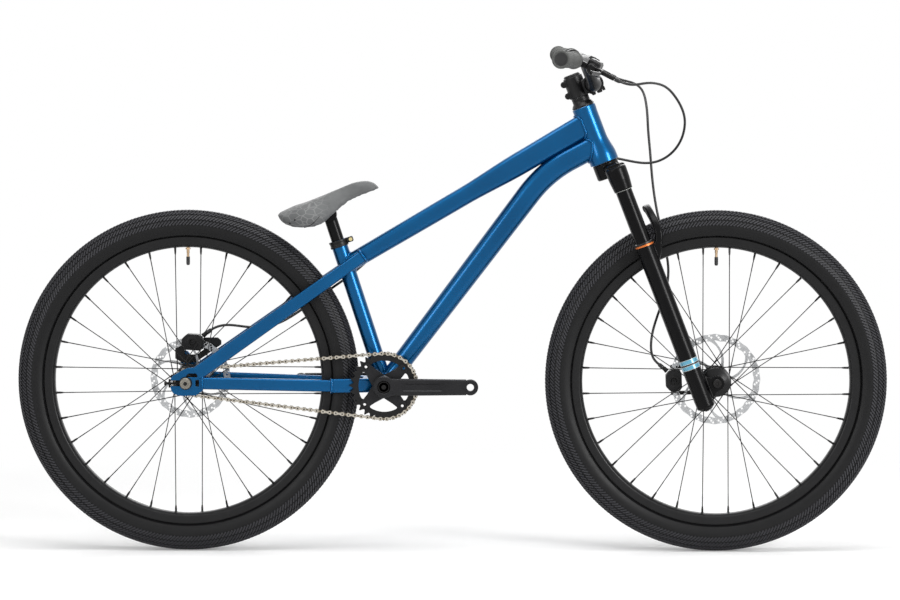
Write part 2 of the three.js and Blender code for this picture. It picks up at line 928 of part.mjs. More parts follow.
function makeStem() {
  const column = solid(disc(stem.radius, stemBottom, stemTop));
  const neck = block(stem.reach, stem.neckWidth, stem.neckHeight, stem.reach / 2, 0, clampHeight);
  const bosses = [stemBottom + stem.bossInset, stemTop - stem.bossInset].map((height) => {
    const boss = crossDisc(stem.bossRadius, -stem.bossWidth / 2, stem.bossWidth / 2, smallSides);
    return solid(boss.translate(-stem.bossBack, 0, height));
  });
  const body = cut(joined(column, solid(neck), stemClamp()), stemHalf(true));
  const bore = solid(disc(steerer.radius + fitGap, stemBottom - cutOverrun, stemTop + cutOverrun));
  return cut(joined(body, ...bosses), bore, barBore());
}

function makeFaceplate() {
  return cut(stemClamp(), stemHalf(false), barBore());
}

function makeTopCap() {
  const foot = stemTop + fitGap;
  return solid(
    turned(
      [
        [0, steererTop - topCap.plugDepth],
        [topCap.plugRadius, steererTop - topCap.plugDepth],
        [topCap.plugRadius, foot],
        [topCap.radius, foot],
        [topCap.radius, foot + topCap.height / 2],
        [topCap.radius - topCap.height / 2, foot + topCap.height],
        [0, foot + topCap.height],
      ],
      tubeSides,
    ),
  );
}

// The handlebar's corners on one side, from the stem outwards.
function barCorners(side) {
  const outward = barWidth / 2 - bar.riseEnd;
  return [
    new THREE.Vector3(stem.reach, side * bar.riseStart, clampHeight),
    new THREE.Vector3(stem.reach, side * bar.riseEnd, clampHeight + bar.rise),
    new THREE.Vector3(
      stem.reach - outward * Math.tan(bar.backsweep * degrees),
      (side * barWidth) / 2,
      clampHeight + bar.rise + outward * Math.tan(bar.upsweep * degrees),
    ),
  ];
}

function makeBar() {
  const path = roundedPath([...barCorners(-1).reverse(), ...barCorners(1)], bar.bendRadius, bar.bendSteps);
  const radiusAt = (_, point) => {
    const share = THREE.MathUtils.smoothstep(Math.abs(point.y), bar.clampHalf, bar.bulgeEnd);
    const scale = THREE.MathUtils.lerp(1, bar.endRadius / bar.clampRadius, share);
    return [scale, scale];
  };
  const outline = circlePoints(bar.clampRadius, mediumSides);
  const inside = circlePoints(bar.clampRadius - bar.wall, smallSides);
  const side = new THREE.Vector3(1, 0, 0);
  return solid(swept(outline, path, { holes: [inside], scaleAt: radiusAt, side }));
}

function makeGrip() {
  const bore = bar.endRadius + fitGap;
  const mouth = -grip.length;
  return solid(
    turned(
      [
        [bore, mouth],
        [grip.flangeRadius, mouth],
        [grip.flangeRadius, mouth + grip.flangeWidth],
        [grip.radius, mouth + grip.flangeWidth],
        [grip.radius, -grip.flangeWidth],
        [grip.flangeRadius, -grip.flangeWidth],
        [grip.flangeRadius, grip.capDepth],
        [0, grip.capDepth],
        [0, fitGap],
        [bore, fitGap],
      ],
      tubeSides,
    ),
  );
}

// Brake lever, in its own frame: Z outwards along the bar, X from the bar towards the lever
function makeLeverBody() {
  const bore = bar.endRadius + fitGap;
  const half = lever.clampWidth / 2;
  const ring = solid(pipe(bore + lever.clampWall, bore, -half, half));
  const neckLength = lever.cylinderAhead - bore;
  const neckX = bore + lever.clampWall / 2 + neckLength / 2;
  const neck = solid(block(neckLength, lever.neckWidth, lever.neckHeight, neckX, 0, 0));
  const inboard = -lever.cylinderInboard;
  const barrel = disc(lever.cylinderRadius, inboard, lever.cylinderOutboard, smallSides);
  const tank = block(
    lever.reservoirDepth,
    lever.reservoirHeight,
    lever.reservoirLength,
    lever.cylinderAhead,
    -lever.reservoirHeight / 2,
    inboard + lever.reservoirLength / 2 + lever.cylinderOutboard / 2,
  );
  const earOffset = lever.bladeWidth / 2 + fitGap + lever.earThickness / 2;
  const earLength = lever.pivotAhead - lever.cylinderAhead + lever.hubRadius;
  const earReach = lever.pivotOut - lever.cylinderOutboard + lever.hubRadius + lever.earHeight;
  const ears = [-1, 1].map((side) =>
    solid(
      block(
        earLength,
        lever.earThickness,
        earReach,
        lever.cylinderAhead + earLength / 2,
        side * earOffset,
        lever.pivotOut + lever.hubRadius - earReach / 2,
      ),
    ),
  );
  const pinHalf = earOffset + lever.earThickness / 2;
  const pin = crossDisc(lever.pivotRadius, -pinHalf, pinHalf, smallSides);
  const outletLength = lever.outletAhead - lever.cylinderAhead;
  const outlet = disc(lever.outletRadius, 0, outletLength, hoseSides)
    .rotateY(Math.PI / 2)
    .translate(lever.cylinderAhead, 0, inboard + lever.outletInset);
  return joined(
    cut(joined(ring, neck, solid(barrel.translate(lever.cylinderAhead, 0, 0))), barEndBore()),
    solid(tank),
    ...ears,
    solid(pin.translate(lever.pivotAhead, 0, lever.pivotOut)),
    solid(outlet),
  );
}

function barEndBore() {
  return solid(disc(bar.endRadius + fitGap, -lever.clampWidth, lever.clampWidth));
}

// The blade, with its origin on the pivot.
function makeLeverBlade() {
  const outline = roundedBox(lever.bladeWidth, lever.bladeThickness, lever.bladeCorner);
  const corners = [
    new THREE.Vector3(0, 0, 0),
    new THREE.Vector3(lever.bladeBelly, 0, lever.bladeReach / 4),
    new THREE.Vector3(0, 0, lever.bladeReach - 2 * lever.bladeHook),
    new THREE.Vector3(lever.bladeHook, 0, lever.bladeReach),
  ];
  const finger = solid(swept(outline, roundedPath(corners, lever.bladeBend, 2)));
  const half = lever.bladeWidth / 2;
  const hub = solid(crossDisc(lever.hubRadius, -half, half, smallSides));
  const bore = solid(crossDisc(lever.pivotRadius + fitGap, -2 * half, 2 * half, smallSides));
  return cut(joined(finger, hub), bore);
}

// Suspension fork
const axleDown = -forkLength;
const legFoot = axleDown - leg.bottom;
const legTop = -leg.wiperTop - wiper.height;

function makeCrown() {
  const boss = solid(disc(crown.bossRadius, -crown.bossDrop, -runningGap));
  const bridge = block(
    crown.bridgeWidth,
    2 * leg.spread,
    crown.bridgeBottom - crown.bridgeTop,
    leg.ahead / 2,
    0,
    -(crown.bridgeTop + crown.bridgeBottom) / 2,
  );
  const sockets = [-1, 1].map((side) => {
    const socket = turned(
      [
        [0, -crown.socketTop],
        [crown.socketRadius, -crown.socketTop],
        [crown.socketMouth, -crown.socketBottom],
        [0, -crown.socketBottom],
      ],
      tubeSides,
    );
    return solid(socket.translate(leg.ahead, side * leg.spread, 0));
  });
  const bores = [-1, 1].map((side) => {
    const low = -crown.socketBottom - cutOverrun;
    const bore = disc(stanchion.radius + fitGap, low, -crown.bridgeBottom + fitGap);
    return solid(bore.translate(leg.ahead, side * leg.spread, 0));
  });
  const steererBore = solid(disc(steerer.bottomRadius + fitGap, -crown.bossDrop - cutOverrun, cutOverrun));
  return cut(joined(boss, solid(bridge), ...sockets), ...bores, steererBore);
}

function makeStanchion(side) {
  const low = -leg.wiperTop - stanchion.overlap;
  const tube = pipe(stanchion.radius, stanchion.bore, low, -crown.bridgeBottom);
  return solid(tube.translate(leg.ahead, side * leg.spread, 0));
}

function legSolid(side) {
  const bore = stanchion.radius + fitGap;
  const casting = turned(
    [
      [0, legFoot],
      [leg.footRadius, legFoot],
      [leg.radius, legFoot + leg.radius - leg.footRadius],
      [leg.radius, legTop],
      [bore, legTop],
      [bore, legFoot + leg.boreFloor],
      [0, legFoot + leg.boreFloor],
    ],
    tubeSides,
  );
  return solid(casting.translate(leg.ahead, side * leg.spread, 0));
}

// The lug that carries the axle ahead of the leg.
function lugSolid(side) {
  const [low, high] = onSide(side, frontHubWidth / 2, frontHubWidth / 2 + leg.lugThickness);
  const eye = crossDisc(leg.lugRadius, low, high, smallSides).translate(forkOffset, 0, axleDown);
  const outline = [
    [leg.ahead, axleDown + 2 * leg.lugRadius],
    [leg.ahead, legFoot + leg.footRadius],
    [forkOffset, axleDown - leg.lugRadius],
    [forkOffset + leg.lugRadius / 2, axleDown + leg.lugRadius / 2],
  ].map(([x, z]) => new THREE.Vector2(x, z));
  return joined(solid(eye), solid(plate(outline, low, high)));
}

function archSolid() {
  const halfway = (arch.footDrop + arch.shoulderDrop) / 2;
  const brow = (arch.top + arch.shoulderDrop - arch.height) / 2;
  const right = [
    [leg.ahead + leg.radius, leg.spread, arch.footDrop],
    [arch.ahead, leg.spread, halfway],
    [arch.ahead, arch.shoulderSpread, arch.shoulderDrop],
    [(arch.ahead + arch.topAhead) / 2, arch.shoulderSpread / 2, brow],
    [arch.topAhead, 0, arch.top],
  ];
  const left = right.slice(0, -1).reverse().map(([x, y, z]) => [x, -y, z]);
  const corners = [...right, ...left].map(([x, y, z]) => new THREE.Vector3(x, y, -z));
  const curve = new THREE.CatmullRomCurve3(corners);
  const outline = roundedBox(arch.thickness, arch.height, arch.height / 4);
  return solid(swept(outline, curve.getSpacedPoints(arch.steps), { side: new THREE.Vector3(1, 0, 0) }));
}

function caliperFrame(axlePoint, angle, radius, height) {
  const up = new THREE.Vector3(Math.cos(angle * degrees), 0, Math.sin(angle * degrees));
  const origin = alongFrom(axlePoint, up, radius - caliper.padRadiusInset);
  origin.y = height;
  return frameOf(up, new THREE.Vector3().crossVectors(across, up), origin);
}

const forkAxle = new THREE.Vector3(forkOffset, 0, axleDown);
const frontRotorY = frontHubWidth / 2 - rotorInset.front;
const rearRotorY = rearHubWidth / 2 - rotorInset.rear;
const frontCaliperFrame = caliperFrame(forkAxle, frontCaliperAngle, rotor.frontRadius, frontRotorY);
const rearCaliperFrame = caliperFrame(rearAxle, rearCaliperAngle, rotor.rearRadius, rearRotorY);

// The tabs on the left leg that the front caliper is bolted between.
function caliperTabs() {
  const x = caliper.length / 2 + fitGap + caliper.tabLength / 2;
  return [-1, 1].map((end) => {
    const tab = block(caliper.tabLength, caliper.tabWidth, caliper.tabReach, end * x, 0, 0);
    tab.translate(0, caliper.tabInset + caliper.tabWidth / 2, caliper.tabTop - caliper.tabReach / 2);
    return solid(tab.applyMatrix4(frontCaliperFrame));
  });
}

function makeLowers() {
  const axleBore = crossDisc(axle.frontRadius + fitGap, -frontHubWidth, frontHubWidth, smallSides);
  const legBores = [-1, 1].map((side) => {
    const bore = disc(stanchion.radius + fitGap, legFoot + leg.boreFloor, 0);
    return solid(bore.translate(leg.ahead, side * leg.spread, 0));
  });
  const pieces = [legSolid(-1), legSolid(1), lugSolid(-1), lugSolid(1), archSolid(), ...caliperTabs()];
  return cut(joined(...pieces), solid(axleBore.translate(forkOffset, 0, axleDown)), ...legBores);
}

function makeWiper(side) {
  const bore = stanchion.radius + fitGap;
  const ring = pipe(leg.radius + wiper.lip, bore, legTop + fitGap, -leg.wiperTop);
  return solid(ring.translate(leg.ahead, side * leg.spread, 0));
}

function makeFrontAxle() {
  const half = frontHubWidth / 2 + leg.lugThickness + fitGap;
  const shaft = solid(crossDisc(axle.frontRadius, -half - weldOverlap, half + weldOverlap, smallSides));
  const heads = [-1, 1].map((side) =>
    solid(crossDisc(axle.nutRadius, ...onSide(side, half, half + axle.headHeight), smallSides)),
  );
  return joined(shaft, ...heads).translate(forkAxle.toArray());
}

function caliperOutline(grow) {
  const halfLength = caliper.length / 2 + grow;
  const halfHeight = caliper.height / 2 + grow;
  return [
    [-halfLength, -halfHeight],
    [halfLength, -halfHeight],
    [halfLength, halfHeight - caliper.bevel],
    [halfLength - caliper.bevel, halfHeight],
    [caliper.bevel - halfLength, halfHeight],
    [-halfLength, halfHeight - caliper.bevel],
  ].map(([x, z]) => new THREE.Vector2(x, z));
}

// A caliper in its own frame: X along the rotor's edge, Z away from the axle, the rotor in the XZ plane
function makeCaliper() {
  const half = caliper.width / 2;
  const body = solid(plate(caliperOutline(0), -half, half));
  const slotTop = caliper.padRadiusInset + caliper.slotRoom;
  const slot = block(
    2 * caliper.length,
    caliper.slot,
    caliper.height,
    0,
    0,
    slotTop - caliper.height / 2,
  );
  const piston = crossDisc(caliper.pistonRadius, half - weldOverlap, half + caliper.pistonRise, smallSides);
  const banjo = disc(hose.collarRadius, -weldOverlap, caliper.banjoHeight, hoseSides);
  banjo.rotateY(Math.PI / 4).translate(...caliperPort(0).toArray());
  return joined(cut(body, solid(slot)), solid(piston), solid(banjo));
}

// A point at a distance out from the bevelled corner where the hose is fastened, in the caliper's frame.
function caliperPort(distance) {
  const corner = new THREE.Vector3(
    (caliper.length - caliper.bevel) / 2,
    caliper.banjoInset,
    (caliper.height - caliper.bevel) / 2,
  );
  return alongFrom(corner, new THREE.Vector3(Math.SQRT1_2, 0, Math.SQRT1_2), distance);
}

function makeRearBracket() {
  const outline = bracketOutline.map(([x, z]) => new THREE.Vector2(x, z));
  const outside = chainstay.spread - chainstay.width / 2 - fitGap;
  const body = plate(outline, outside - bracket.thickness, outside);
  const tab = dropoutPoint(bracket.tabShare);
  const plateFace = chainstay.spread - dropout.thickness / 2 - fitGap;
  const boss = crossDisc(bracket.bossRadius, outside - weldOverlap, plateFace, smallSides);
  const whole = joined(solid(body), solid(boss.translate(tab.x, 0, tab.y))).translate(rearAxle.toArray());
  const half = caliper.width / 2 + fitGap + caliper.pistonRise;
  const room = solid(plate(caliperOutline(fitGap), -half, half).applyMatrix4(rearCaliperFrame));
  return cut(whole, room);
}

function makeRotor(radius) {
  const half = rotor.thickness / 2;
  const band = solid(crossPipe(radius, radius - rotor.band, -half, half, rotor.sides));
  const centre = solid(crossPipe(rotor.hubRadius, rotor.hole, -half, half, mediumSides));
  const reach = radius - rotor.band - rotor.hubRadius + 2 * weldOverlap;
  const arms = Array.from({ length: rotor.arms }, (_, index) => {
    const middle = rotor.hubRadius - weldOverlap + reach / 2;
    const arm = block(rotor.armWidth, rotor.thickness, reach, 0, 0, middle);
    return solid(arm.rotateY((index * 2 * Math.PI) / rotor.arms));
  });
  return joined(band, centre, ...arms);
}

// Wheels, each with its origin on its own axle
const spokeStep = (2 * Math.PI) / spoke.count;

// Both sides of a wheel's section from the points of its left side.
function bothSides(points) {
  return [...points, ...points.map(([radius, y]) => [radius, -y]).reverse()];
}

function makeTyre() {
  const seat = rimBed + runningGap;
  const place = ([up, out]) => [seat + up * (tyreOuterRadius - seat), (out * tyreWidth) / 2];
  const outside = tyreOutsideShares.map(place);
  const inside = tyreInsideShares.map(place);
  const left = [...inside, ...outside];
  return solid(wheelTurned(bothSides(left), wheelSides));
}

function makeRim() {
  const section = [
    [rimInner, rim.spokeBedWidth / 2],
    [rimInner + rim.shoulderHeight, rim.width / 2],
    [rimBed + rim.flangeRise, rim.width / 2],
    [rimBed, rim.bedWidth / 2],
  ];
  const low = rimInner - cutOverrun;
  const hole = disc(valve.radius + fitGap, low, rimBed + cutOverrun, smallSides);
  return cut(solid(wheelTurned(bothSides(section), wheelSides)), solid(hole));
}

function makeValve() {
  const base = rimBed + fitGap;
  const tip = rimInner - valve.length;
  return solid(
    turned(
      [
        [0, tip],
        [valve.capRadius, tip],
        [valve.capRadius, tip + valve.capLength],
        [valve.radius, tip + valve.capLength],
        [valve.radius, base],
        [valve.baseRadius, base],
        [valve.baseRadius, base + valve.baseHeight],
        [0, base + valve.baseHeight],
      ],
      smallSides,
    ),
  );
}

// One spoke from its hole in the flange to just short of the rim.
function spokeSolid(index, flange) {
  const rimAngle = (index + 0.5) * spokeStep;
  const side = Math.sign(flange);
  const lead = index % 4 < 2 ? 1 : -1;
  const hubAngle = rimAngle + lead * spoke.crosses * 2 * spokeStep;
  const end = rimInner * Math.cos(Math.PI / wheelSides) - fitGap;
  const foot = hub.flangeRadius - hub.holeInset;
  const from = new THREE.Vector3(
    foot * Math.cos(hubAngle),
    flange + lead * spoke.crossOffset,
    foot * Math.sin(hubAngle),
  );
  const rimY = side * spoke.rimOffset + lead * spoke.crossOffset;
  const to = new THREE.Vector3(end * Math.cos(rimAngle), rimY, end * Math.sin(rimAngle));
  return solid(swept(circlePoints(spoke.radius, spokeSides), [from, to]));
}

function makeHub(sizes, bore, rotorInsetHere) {
  const half = sizes.width / 2 - fitGap;
  const flangeHalf = hub.flangeThickness / 2;
  const rotorY = sizes.width / 2 - rotorInsetHere;
  const seat = rotorY - rotor.thickness / 2 - fitGap;
  const body = solid(
    wheelTurned(
      [
        [bore, -half],
        [sizes.driveRadius, -half],
        [sizes.driveRadius, -sizes.right - flangeHalf - hub.shoulder],
        [hub.flangeRadius, -sizes.right - flangeHalf],
        [hub.flangeRadius, flangeHalf - sizes.right],
        [hub.shellRadius, flangeHalf - sizes.right + hub.shoulder],
        [hub.shellRadius, sizes.left - flangeHalf - hub.shoulder],
        [hub.flangeRadius, sizes.left - flangeHalf],
        [hub.flangeRadius, sizes.left + flangeHalf],
        [hub.seatRadius, sizes.left + flangeHalf],
        [hub.seatRadius, seat],
        [rotor.hole - fitGap, seat],
        [rotor.hole - fitGap, rotorY + hub.spigotReach],
        [hub.endRadius, rotorY + hub.spigotReach],
        [hub.endRadius, half],
        [bore, half],
      ],
      mediumSides,
    ),
  );
  const spokes = Array.from({ length: spoke.count }, (_, index) =>
    spokeSolid(index, index % 2 === 0 ? sizes.left : -sizes.right),
  );
  return joined(body, ...spokes);
}

// Drive: chainring, cog, cranks and chain
const driveTurn = Math.atan2(rearAxle.z - bottomBracket.z, bottomBracket.x - rearAxle.x);

function pitchRadius(teeth) {
  return chain.pitch / (2 * Math.sin(Math.PI / teeth));
}

// A toothed outline whose first tooth points along the turn.
function toothOutline(teeth, rise, turn) {
  const radius = pitchRadius(teeth);
  const root = radius - chain.rollerRadius - fitGap;
  const points = [];
  for (let tooth = 0; tooth < teeth; tooth += 1) {
    for (const [share, reach] of [
      [-toothRootShare, root],
      [0, radius + rise],
      [toothRootShare, root],
    ]) {
      const angle = turn + ((tooth + share) * 2 * Math.PI) / teeth;
      points.push(new THREE.Vector2(reach * Math.cos(angle), reach * Math.sin(angle)));
    }
  }
  return points;
}

function makeChainring() {
  const half = chainring.thickness / 2;
  const outline = toothOutline(chainring.teeth, chainring.toothRise, -driveTurn);
  const hole = circlePoints(chainring.innerRadius, tubeSides);
  return solid(plate(outline, -chain.line - half, -chain.line + half, [hole]));
}

function makeCog() {
  const half = cog.thickness / 2;
  const outline = toothOutline(cog.teeth, cog.toothRise, Math.PI - driveTurn);
  const teeth = solid(plate(outline, -chain.line - half, -chain.line + half));
  const driver = crossDisc(cog.driverRadius, -chain.line - cog.driverFront, cog.driverBack - chain.line);
  const bore = crossDisc(rearHub.driveRadius + runningGap, -rearHubWidth, 0);
  return cut(joined(teeth, solid(driver)), solid(bore));
}

// The chain's pins in order round both sprockets, in the plane of the drive with the cog at the origin.
function chainPins() {
  const pins = [];
  const addArc = (teeth, links, centre, turn) => {
    for (let link = 0; link <= links; link += 1) {
      const angle = turn + ((links / 2 - link) * 2 * Math.PI) / teeth;
      const radius = pitchRadius(teeth);
      pins.push(new THREE.Vector2(centre + radius * Math.cos(angle), radius * Math.sin(angle)));
    }
  };
  const addRun = (from, to) => {
    for (let link = 1; link < chain.runLinks; link += 1) {
      pins.push(from.clone().lerp(to, link / chain.runLinks));
    }
  };
  addArc(chainring.teeth, chain.ringLinks, chainstayLength, 0);
  const lowerStart = pins[pins.length - 1];
  const cogStart = pins.length;
  addArc(cog.teeth, chain.cogLinks, 0, Math.PI);
  const cogPins = pins.splice(cogStart);
  addRun(lowerStart, cogPins[0]);
  pins.push(...cogPins);
  addRun(cogPins[cogPins.length - 1], pins[0]);
  return pins;
}

// A loop through the pins, moved in or out, without the points that lie on the straight runs.
function chainLoop(pins, offset) {
  const count = pins.length;
  const corners = [];
  pins.forEach((pin, index) => {
    const back = pin.clone().sub(pins[(index + count - 1) % count]).normalize();
    const ahead = pins[(index + 1) % count].clone().sub(pin).normalize();
    const along = back.clone().add(ahead).normalize();
    if (back.dot(ahead) < Math.cos(degrees)) {
      corners.push(new THREE.Vector2(pin.x - along.y * offset, pin.y + along.x * offset));
    }
  });
  return corners;
}

function makeChain() {
  const pins = chainPins();
  const outside = chainLoop(pins, chain.plateHeight / 2);
  const inside = chainLoop(pins, -chain.plateHeight / 2);
  const inner = chain.innerWidth / 2;
  const strips = [-1, 1].map((side) => {
    const [low, high] = onSide(side, inner, inner + chain.plateThickness);
    return cut(solid(plate(outside, low, high)), solid(plate(inside, low - cutOverrun, high + cutOverrun)));
  });
  const rollers = pins.map((pin, index) => {
    const ahead = pins[(index + 1) % pins.length].clone().sub(pin).angle();
    const outline = circlePoints(chain.rollerRadius, chain.rollerSides, pin.x, pin.y, ahead + Math.PI / 4);
    return solid(plate(outline, -inner - weldOverlap, inner + weldOverlap));
  });
  const loop = joined(...strips, ...rollers).rotate(0, driveTurn / degrees, 0);
  return loop.translate(rearAxle.x, -chain.line, rearAxle.z);
}

// A crank arm pointing forward from its boss, with the pedal's eye at the far end.
function armSolid(side) {
  const arm = [
    [0, crank.rootHeight / 2],
    [0, -crank.rootHeight / 2],
    [crankLength, -crank.tipHeight / 2],
    [crankLength, crank.tipHeight / 2],
  ].map(([x, z]) => new THREE.Vector2(x, z));
  const [low, high] = onSide(side, crank.armInside, crank.armInside + crank.armThickness);
  const eye = crossDisc(crank.tipHeight / 2, low, high).translate(crankLength, 0, 0);
  const root = crossDisc(crank.rootHeight / 2, low, high);
  const bore = crossDisc(crank.eyeRadius, low - cutOverrun, high + cutOverrun, smallSides);
  bore.translate(crankLength, 0, 0);
  const depth = side > 0 ? high : low;
  const reliefLength = crankLength - crank.bossRadius - 2 * crank.eyeFaceRadius;
  const relief = block(
    reliefLength,
    2 * crank.reliefDepth,
    crank.reliefShare * crank.rootHeight,
    crank.bossRadius + reliefLength / 2,
    depth,
    0,
  );
  return cut(joined(solid(plate(arm, low, high)), solid(eye), solid(root)), solid(relief), solid(bore));
}

function makeRightCrank() {
  const spider = chain.line + chainring.thickness / 2 + fitGap;
  const [low, high] = onSide(-1, spider, spider + crank.spiderThickness);
  const boss = crossDisc(crank.bossRadius, ...onSide(-1, crank.bossInside, crank.bossOutside));
  const spindle = crossDisc(crank.spindleRadius, -crank.bossOutside, crank.bossOutside, smallSides);
  const spiderArms = Array.from({ length: crank.spiderArms }, (_, index) => {
    const reach = crank.spiderRadius - crank.bossRadius + 2 * weldOverlap;
    const arm = block(reach, high - low, crank.spiderArmWidth, 0, 0, 0);
    arm.translate(crank.spiderRadius - reach / 2, (low + high) / 2, 0);
    return solid(arm.rotateY(-crank.spiderTurn * degrees + (index * 2 * Math.PI) / crank.spiderArms));
  });
  return joined(armSolid(-1), solid(boss), solid(spindle), ...spiderArms);
}

function makeLeftCrank() {
  const boss = crossDisc(crank.bossRadius, ...onSide(1, crank.bossInside, crank.bossOutside));
  const bore = crossDisc(crank.spindleRadius + fitGap, 0, 2 * crank.bossOutside, smallSides);
  const arm = geometryOf(armSolid(1)).rotateY(Math.PI);
  return cut(joined(solid(arm), solid(boss)), solid(bore));
}

function makeBearingCup(side) {
  const face = shell.width / 2 + fitGap;
  const flange = crossDisc(bearingCup.radius, ...onSide(side, face, face + bearingCup.height));
  const depths = onSide(side, face - bearingCup.sleeveDepth, face + weldOverlap);
  const sleeve = crossDisc(shell.bore - fitGap, ...depths);
  const bore = crossDisc(crank.spindleRadius + runningGap, -shell.width, shell.width, mediumSides);
  return cut(joined(solid(flange), solid(sleeve)), solid(bore)).translate(bottomBracket.toArray());
}

// Rear axle and chain tensioners
function makeRearAxle() {
  const ring = chainstay.spread + dropout.thickness / 2 + fitGap + tensioner.thickness + fitGap;
  const shaft = solid(crossDisc(axle.rearRadius, -ring - weldOverlap, ring + weldOverlap, smallSides));
  const heads = [-1, 1].map((side) =>
    solid(crossDisc(axle.headRadius, ...onSide(side, ring, ring + axle.headHeight), smallSides)),
  );
  return joined(shaft, ...heads).translate(rearAxle.toArray());
}

// A ring on the axle, a screw back from it and the end plate that the screw bears on.
function makeTensioner(side) {
  const inside = chainstay.spread + dropout.thickness / 2 + fitGap;
  const [low, high] = onSide(side, inside, inside + tensioner.thickness);
  const ring = crossDisc(tensioner.ringRadius, low, high);
  const bore = crossDisc(axle.rearRadius + fitGap, low - cutOverrun, high + cutOverrun, smallSides);
  const arm = block(
    tensioner.screwReach,
    tensioner.thickness,
    2 * tensioner.screwRadius,
    -tensioner.screwReach / 2 - axle.rearRadius,
    (low + high) / 2,
    0,
  );
  const plateX = -dropout.back - fitGap - tensioner.plateThickness / 2;
  const width = dropout.thickness / 2 + tensioner.thickness + weldOverlap;
  const end = block(
    tensioner.plateThickness,
    width,
    tensioner.plateHeight,
    plateX,
    side * (inside + tensioner.thickness - width / 2),
    0,
  );
  return cut(joined(solid(ring), solid(arm), solid(end)), solid(bore)).translate(rearAxle.toArray());
}

// Brake hoses, each stretch in the frame of what it runs by.
// By the bar: ahead of the steering axis, share of the way out to the lever, up from the head tube.
const rearHoseBarRoute = [
  [103, 0.9018, 126.7], [125.9, 0.7984, 122.3], [147, 0.6482, 113.1], [165.9, 0.4697, 95.2],
  [176.5, 0.3194, 64.3], [179.2, 0.1879, 37.6],
];
const frontHoseBarRoute = [
  [98, 0.9065, 130], [114, 0.836, 120], [122, 0.7515, 106], [123, 0.6575, 92], [116, 0.5542, 60],
  [104, 0.465, 25],
];
// By the head tube and the fork: ahead, left and up in the steering's frame.
const rearHoseHeadRoute = [
  [175.4, -15, 16.6], [159.3, 18, -11.5], [136, 38, -30.4], [105.8, 52, -39.2], [80.3, 57, -35.9],
  [56.2, 57, -23.5], [33.1, 55, -8.2], [9.7, 50, 6.1],
];
const frontHoseForkRoute = [
  [92, 90, -18], [78, 86, -65], [66, 85, -115], [58, 84, -165], [52, 85, -210], [44, 87, -248],
  [26, 89, -284], [-2, 88, -318], [-32, 76, -355], [-47, 63, -385], [-50, 52, -408],
];
// By and in the top tube: share of the way to the head tube, left, and above the tube's middle.
const rearHoseTubeRoute = [
  [0.951, 43, -56.2], [0.9044, 34, -29.3], [0.8558, 24, -6.4], [0.7894, 6, 9.6], [0.6561, 0, 11.4],
  [0.4479, 0, 11.2], [0.2496, 2, 0.8], [0.1674, 6, -8.2], [0.1078, 12, -15.4], [0.0556, 17, -21.5],
  [0.0144, 21.5, -23.1],
];
// By the seatstay: ahead, left and up from the rear axle.
const rearHoseStayRoute = [
  [314, 25.5, 202.5], [300, 30, 192.5], [280, 37, 178.5], [254, 41, 159.5], [224.5, 43, 138.5],
  [195, 45, 119], [172, 46, 107.5], [146, 47.5, 101.5], [119, 50, 101], [91, 54, 104.5], [66, 57, 106.5],
];

function leverFrame() {
  const [, inner, outer] = barCorners(1);
  const out = outer.clone().sub(inner).normalize();
  const origin = alongFrom(inner, out, (barWidth / 2 - lever.clampInset - bar.riseEnd) / out.y);
  const level = new THREE.Vector3(1, 0, 0).addScaledVector(out, -out.x).normalize();
  const ahead = level.applyAxisAngle(out, lever.droop * degrees);
  const third = new THREE.Vector3().crossVectors(out, ahead);
  return new THREE.Matrix4().makeBasis(ahead, third, out).setPosition(origin);
}

function hoseOutlet(distance) {
  const inboard = lever.outletInset - lever.cylinderInboard;
  return new THREE.Vector3(lever.outletAhead + distance, 0, inboard).applyMatrix4(leverFrame());
}

function hoseSolid(points, radius, steps) {
  const curve = new THREE.CatmullRomCurve3(points);
  return solid(swept(circlePoints(radius, hoseSides), curve.getSpacedPoints(steps)));
}

function pointsOf(route) {
  return route.map((point) => new THREE.Vector3(...point));
}

// The first points of a hose: out of its lever on one side, then by the bar.
function hoseStart(side, route) {
  const mirror = new THREE.Vector3(1, side, 1);
  const outlet = [hose.endGap, hose.collarLength].map((distance) => hoseOutlet(distance).multiply(mirror));
  const byBar = route.map(([ahead, share, up]) => new THREE.Vector3(ahead, share * outlet[1].y, up));
  return [...outlet, ...byBar];
}

function hoseEnd(place) {
  return [hose.collarLength, hose.endGap].map((distance) =>
    caliperPort(caliper.banjoHeight + distance).applyMatrix4(place),
  );
}

function rearHosePoints() {
  const steered = [...hoseStart(-1, rearHoseBarRoute), ...pointsOf(rearHoseHeadRoute)];
  const [seatEnd, headEnd] = topTubeEnds();
  const above = headEnd.clone().sub(seatEnd).normalize().cross(across);
  const tube = rearHoseTubeRoute.map(([share, left, up]) =>
    seatEnd.clone().lerp(headEnd, share).addScaledVector(across, left).addScaledVector(above, up),
  );
  return [
    ...steered.map((point) => point.applyMatrix4(steeringFrame)),
    ...tube,
    ...pointsOf(rearHoseStayRoute).map((point) => point.add(rearAxle)),
    ...hoseEnd(rearCaliperFrame),
  ];
}

function frontHosePoints() {
  const steered = [...hoseStart(1, frontHoseBarRoute), ...pointsOf(frontHoseForkRoute)];
  return [...steered, ...hoseEnd(frontCaliperFrame)];
}

// A geometry reflected to the other side of the bike, with its faces still turned outwards.
function mirrored(geometry) {
  const flipped = geometry.clone().scale(1, -1, 1);
  const place = flipped.attributes.position;
  const corner = new THREE.Vector3();
  const other = new THREE.Vector3();
  for (let index = 0; index < place.count; index += 3) {
    corner.fromBufferAttribute(place, index + 1);
    other.fromBufferAttribute(place, index + 2);
    place.setXYZ(index + 1, ...other.toArray());
    place.setXYZ(index + 2, ...corner.toArray());
  }
  flipped.computeVertexNormals();
  return flipped;
}

// Assembly
function groupAt(origin, ...meshes) {
  const group = new THREE.Group();
  group.position.copy(origin);
  group.add(...meshes);
  return group;
}

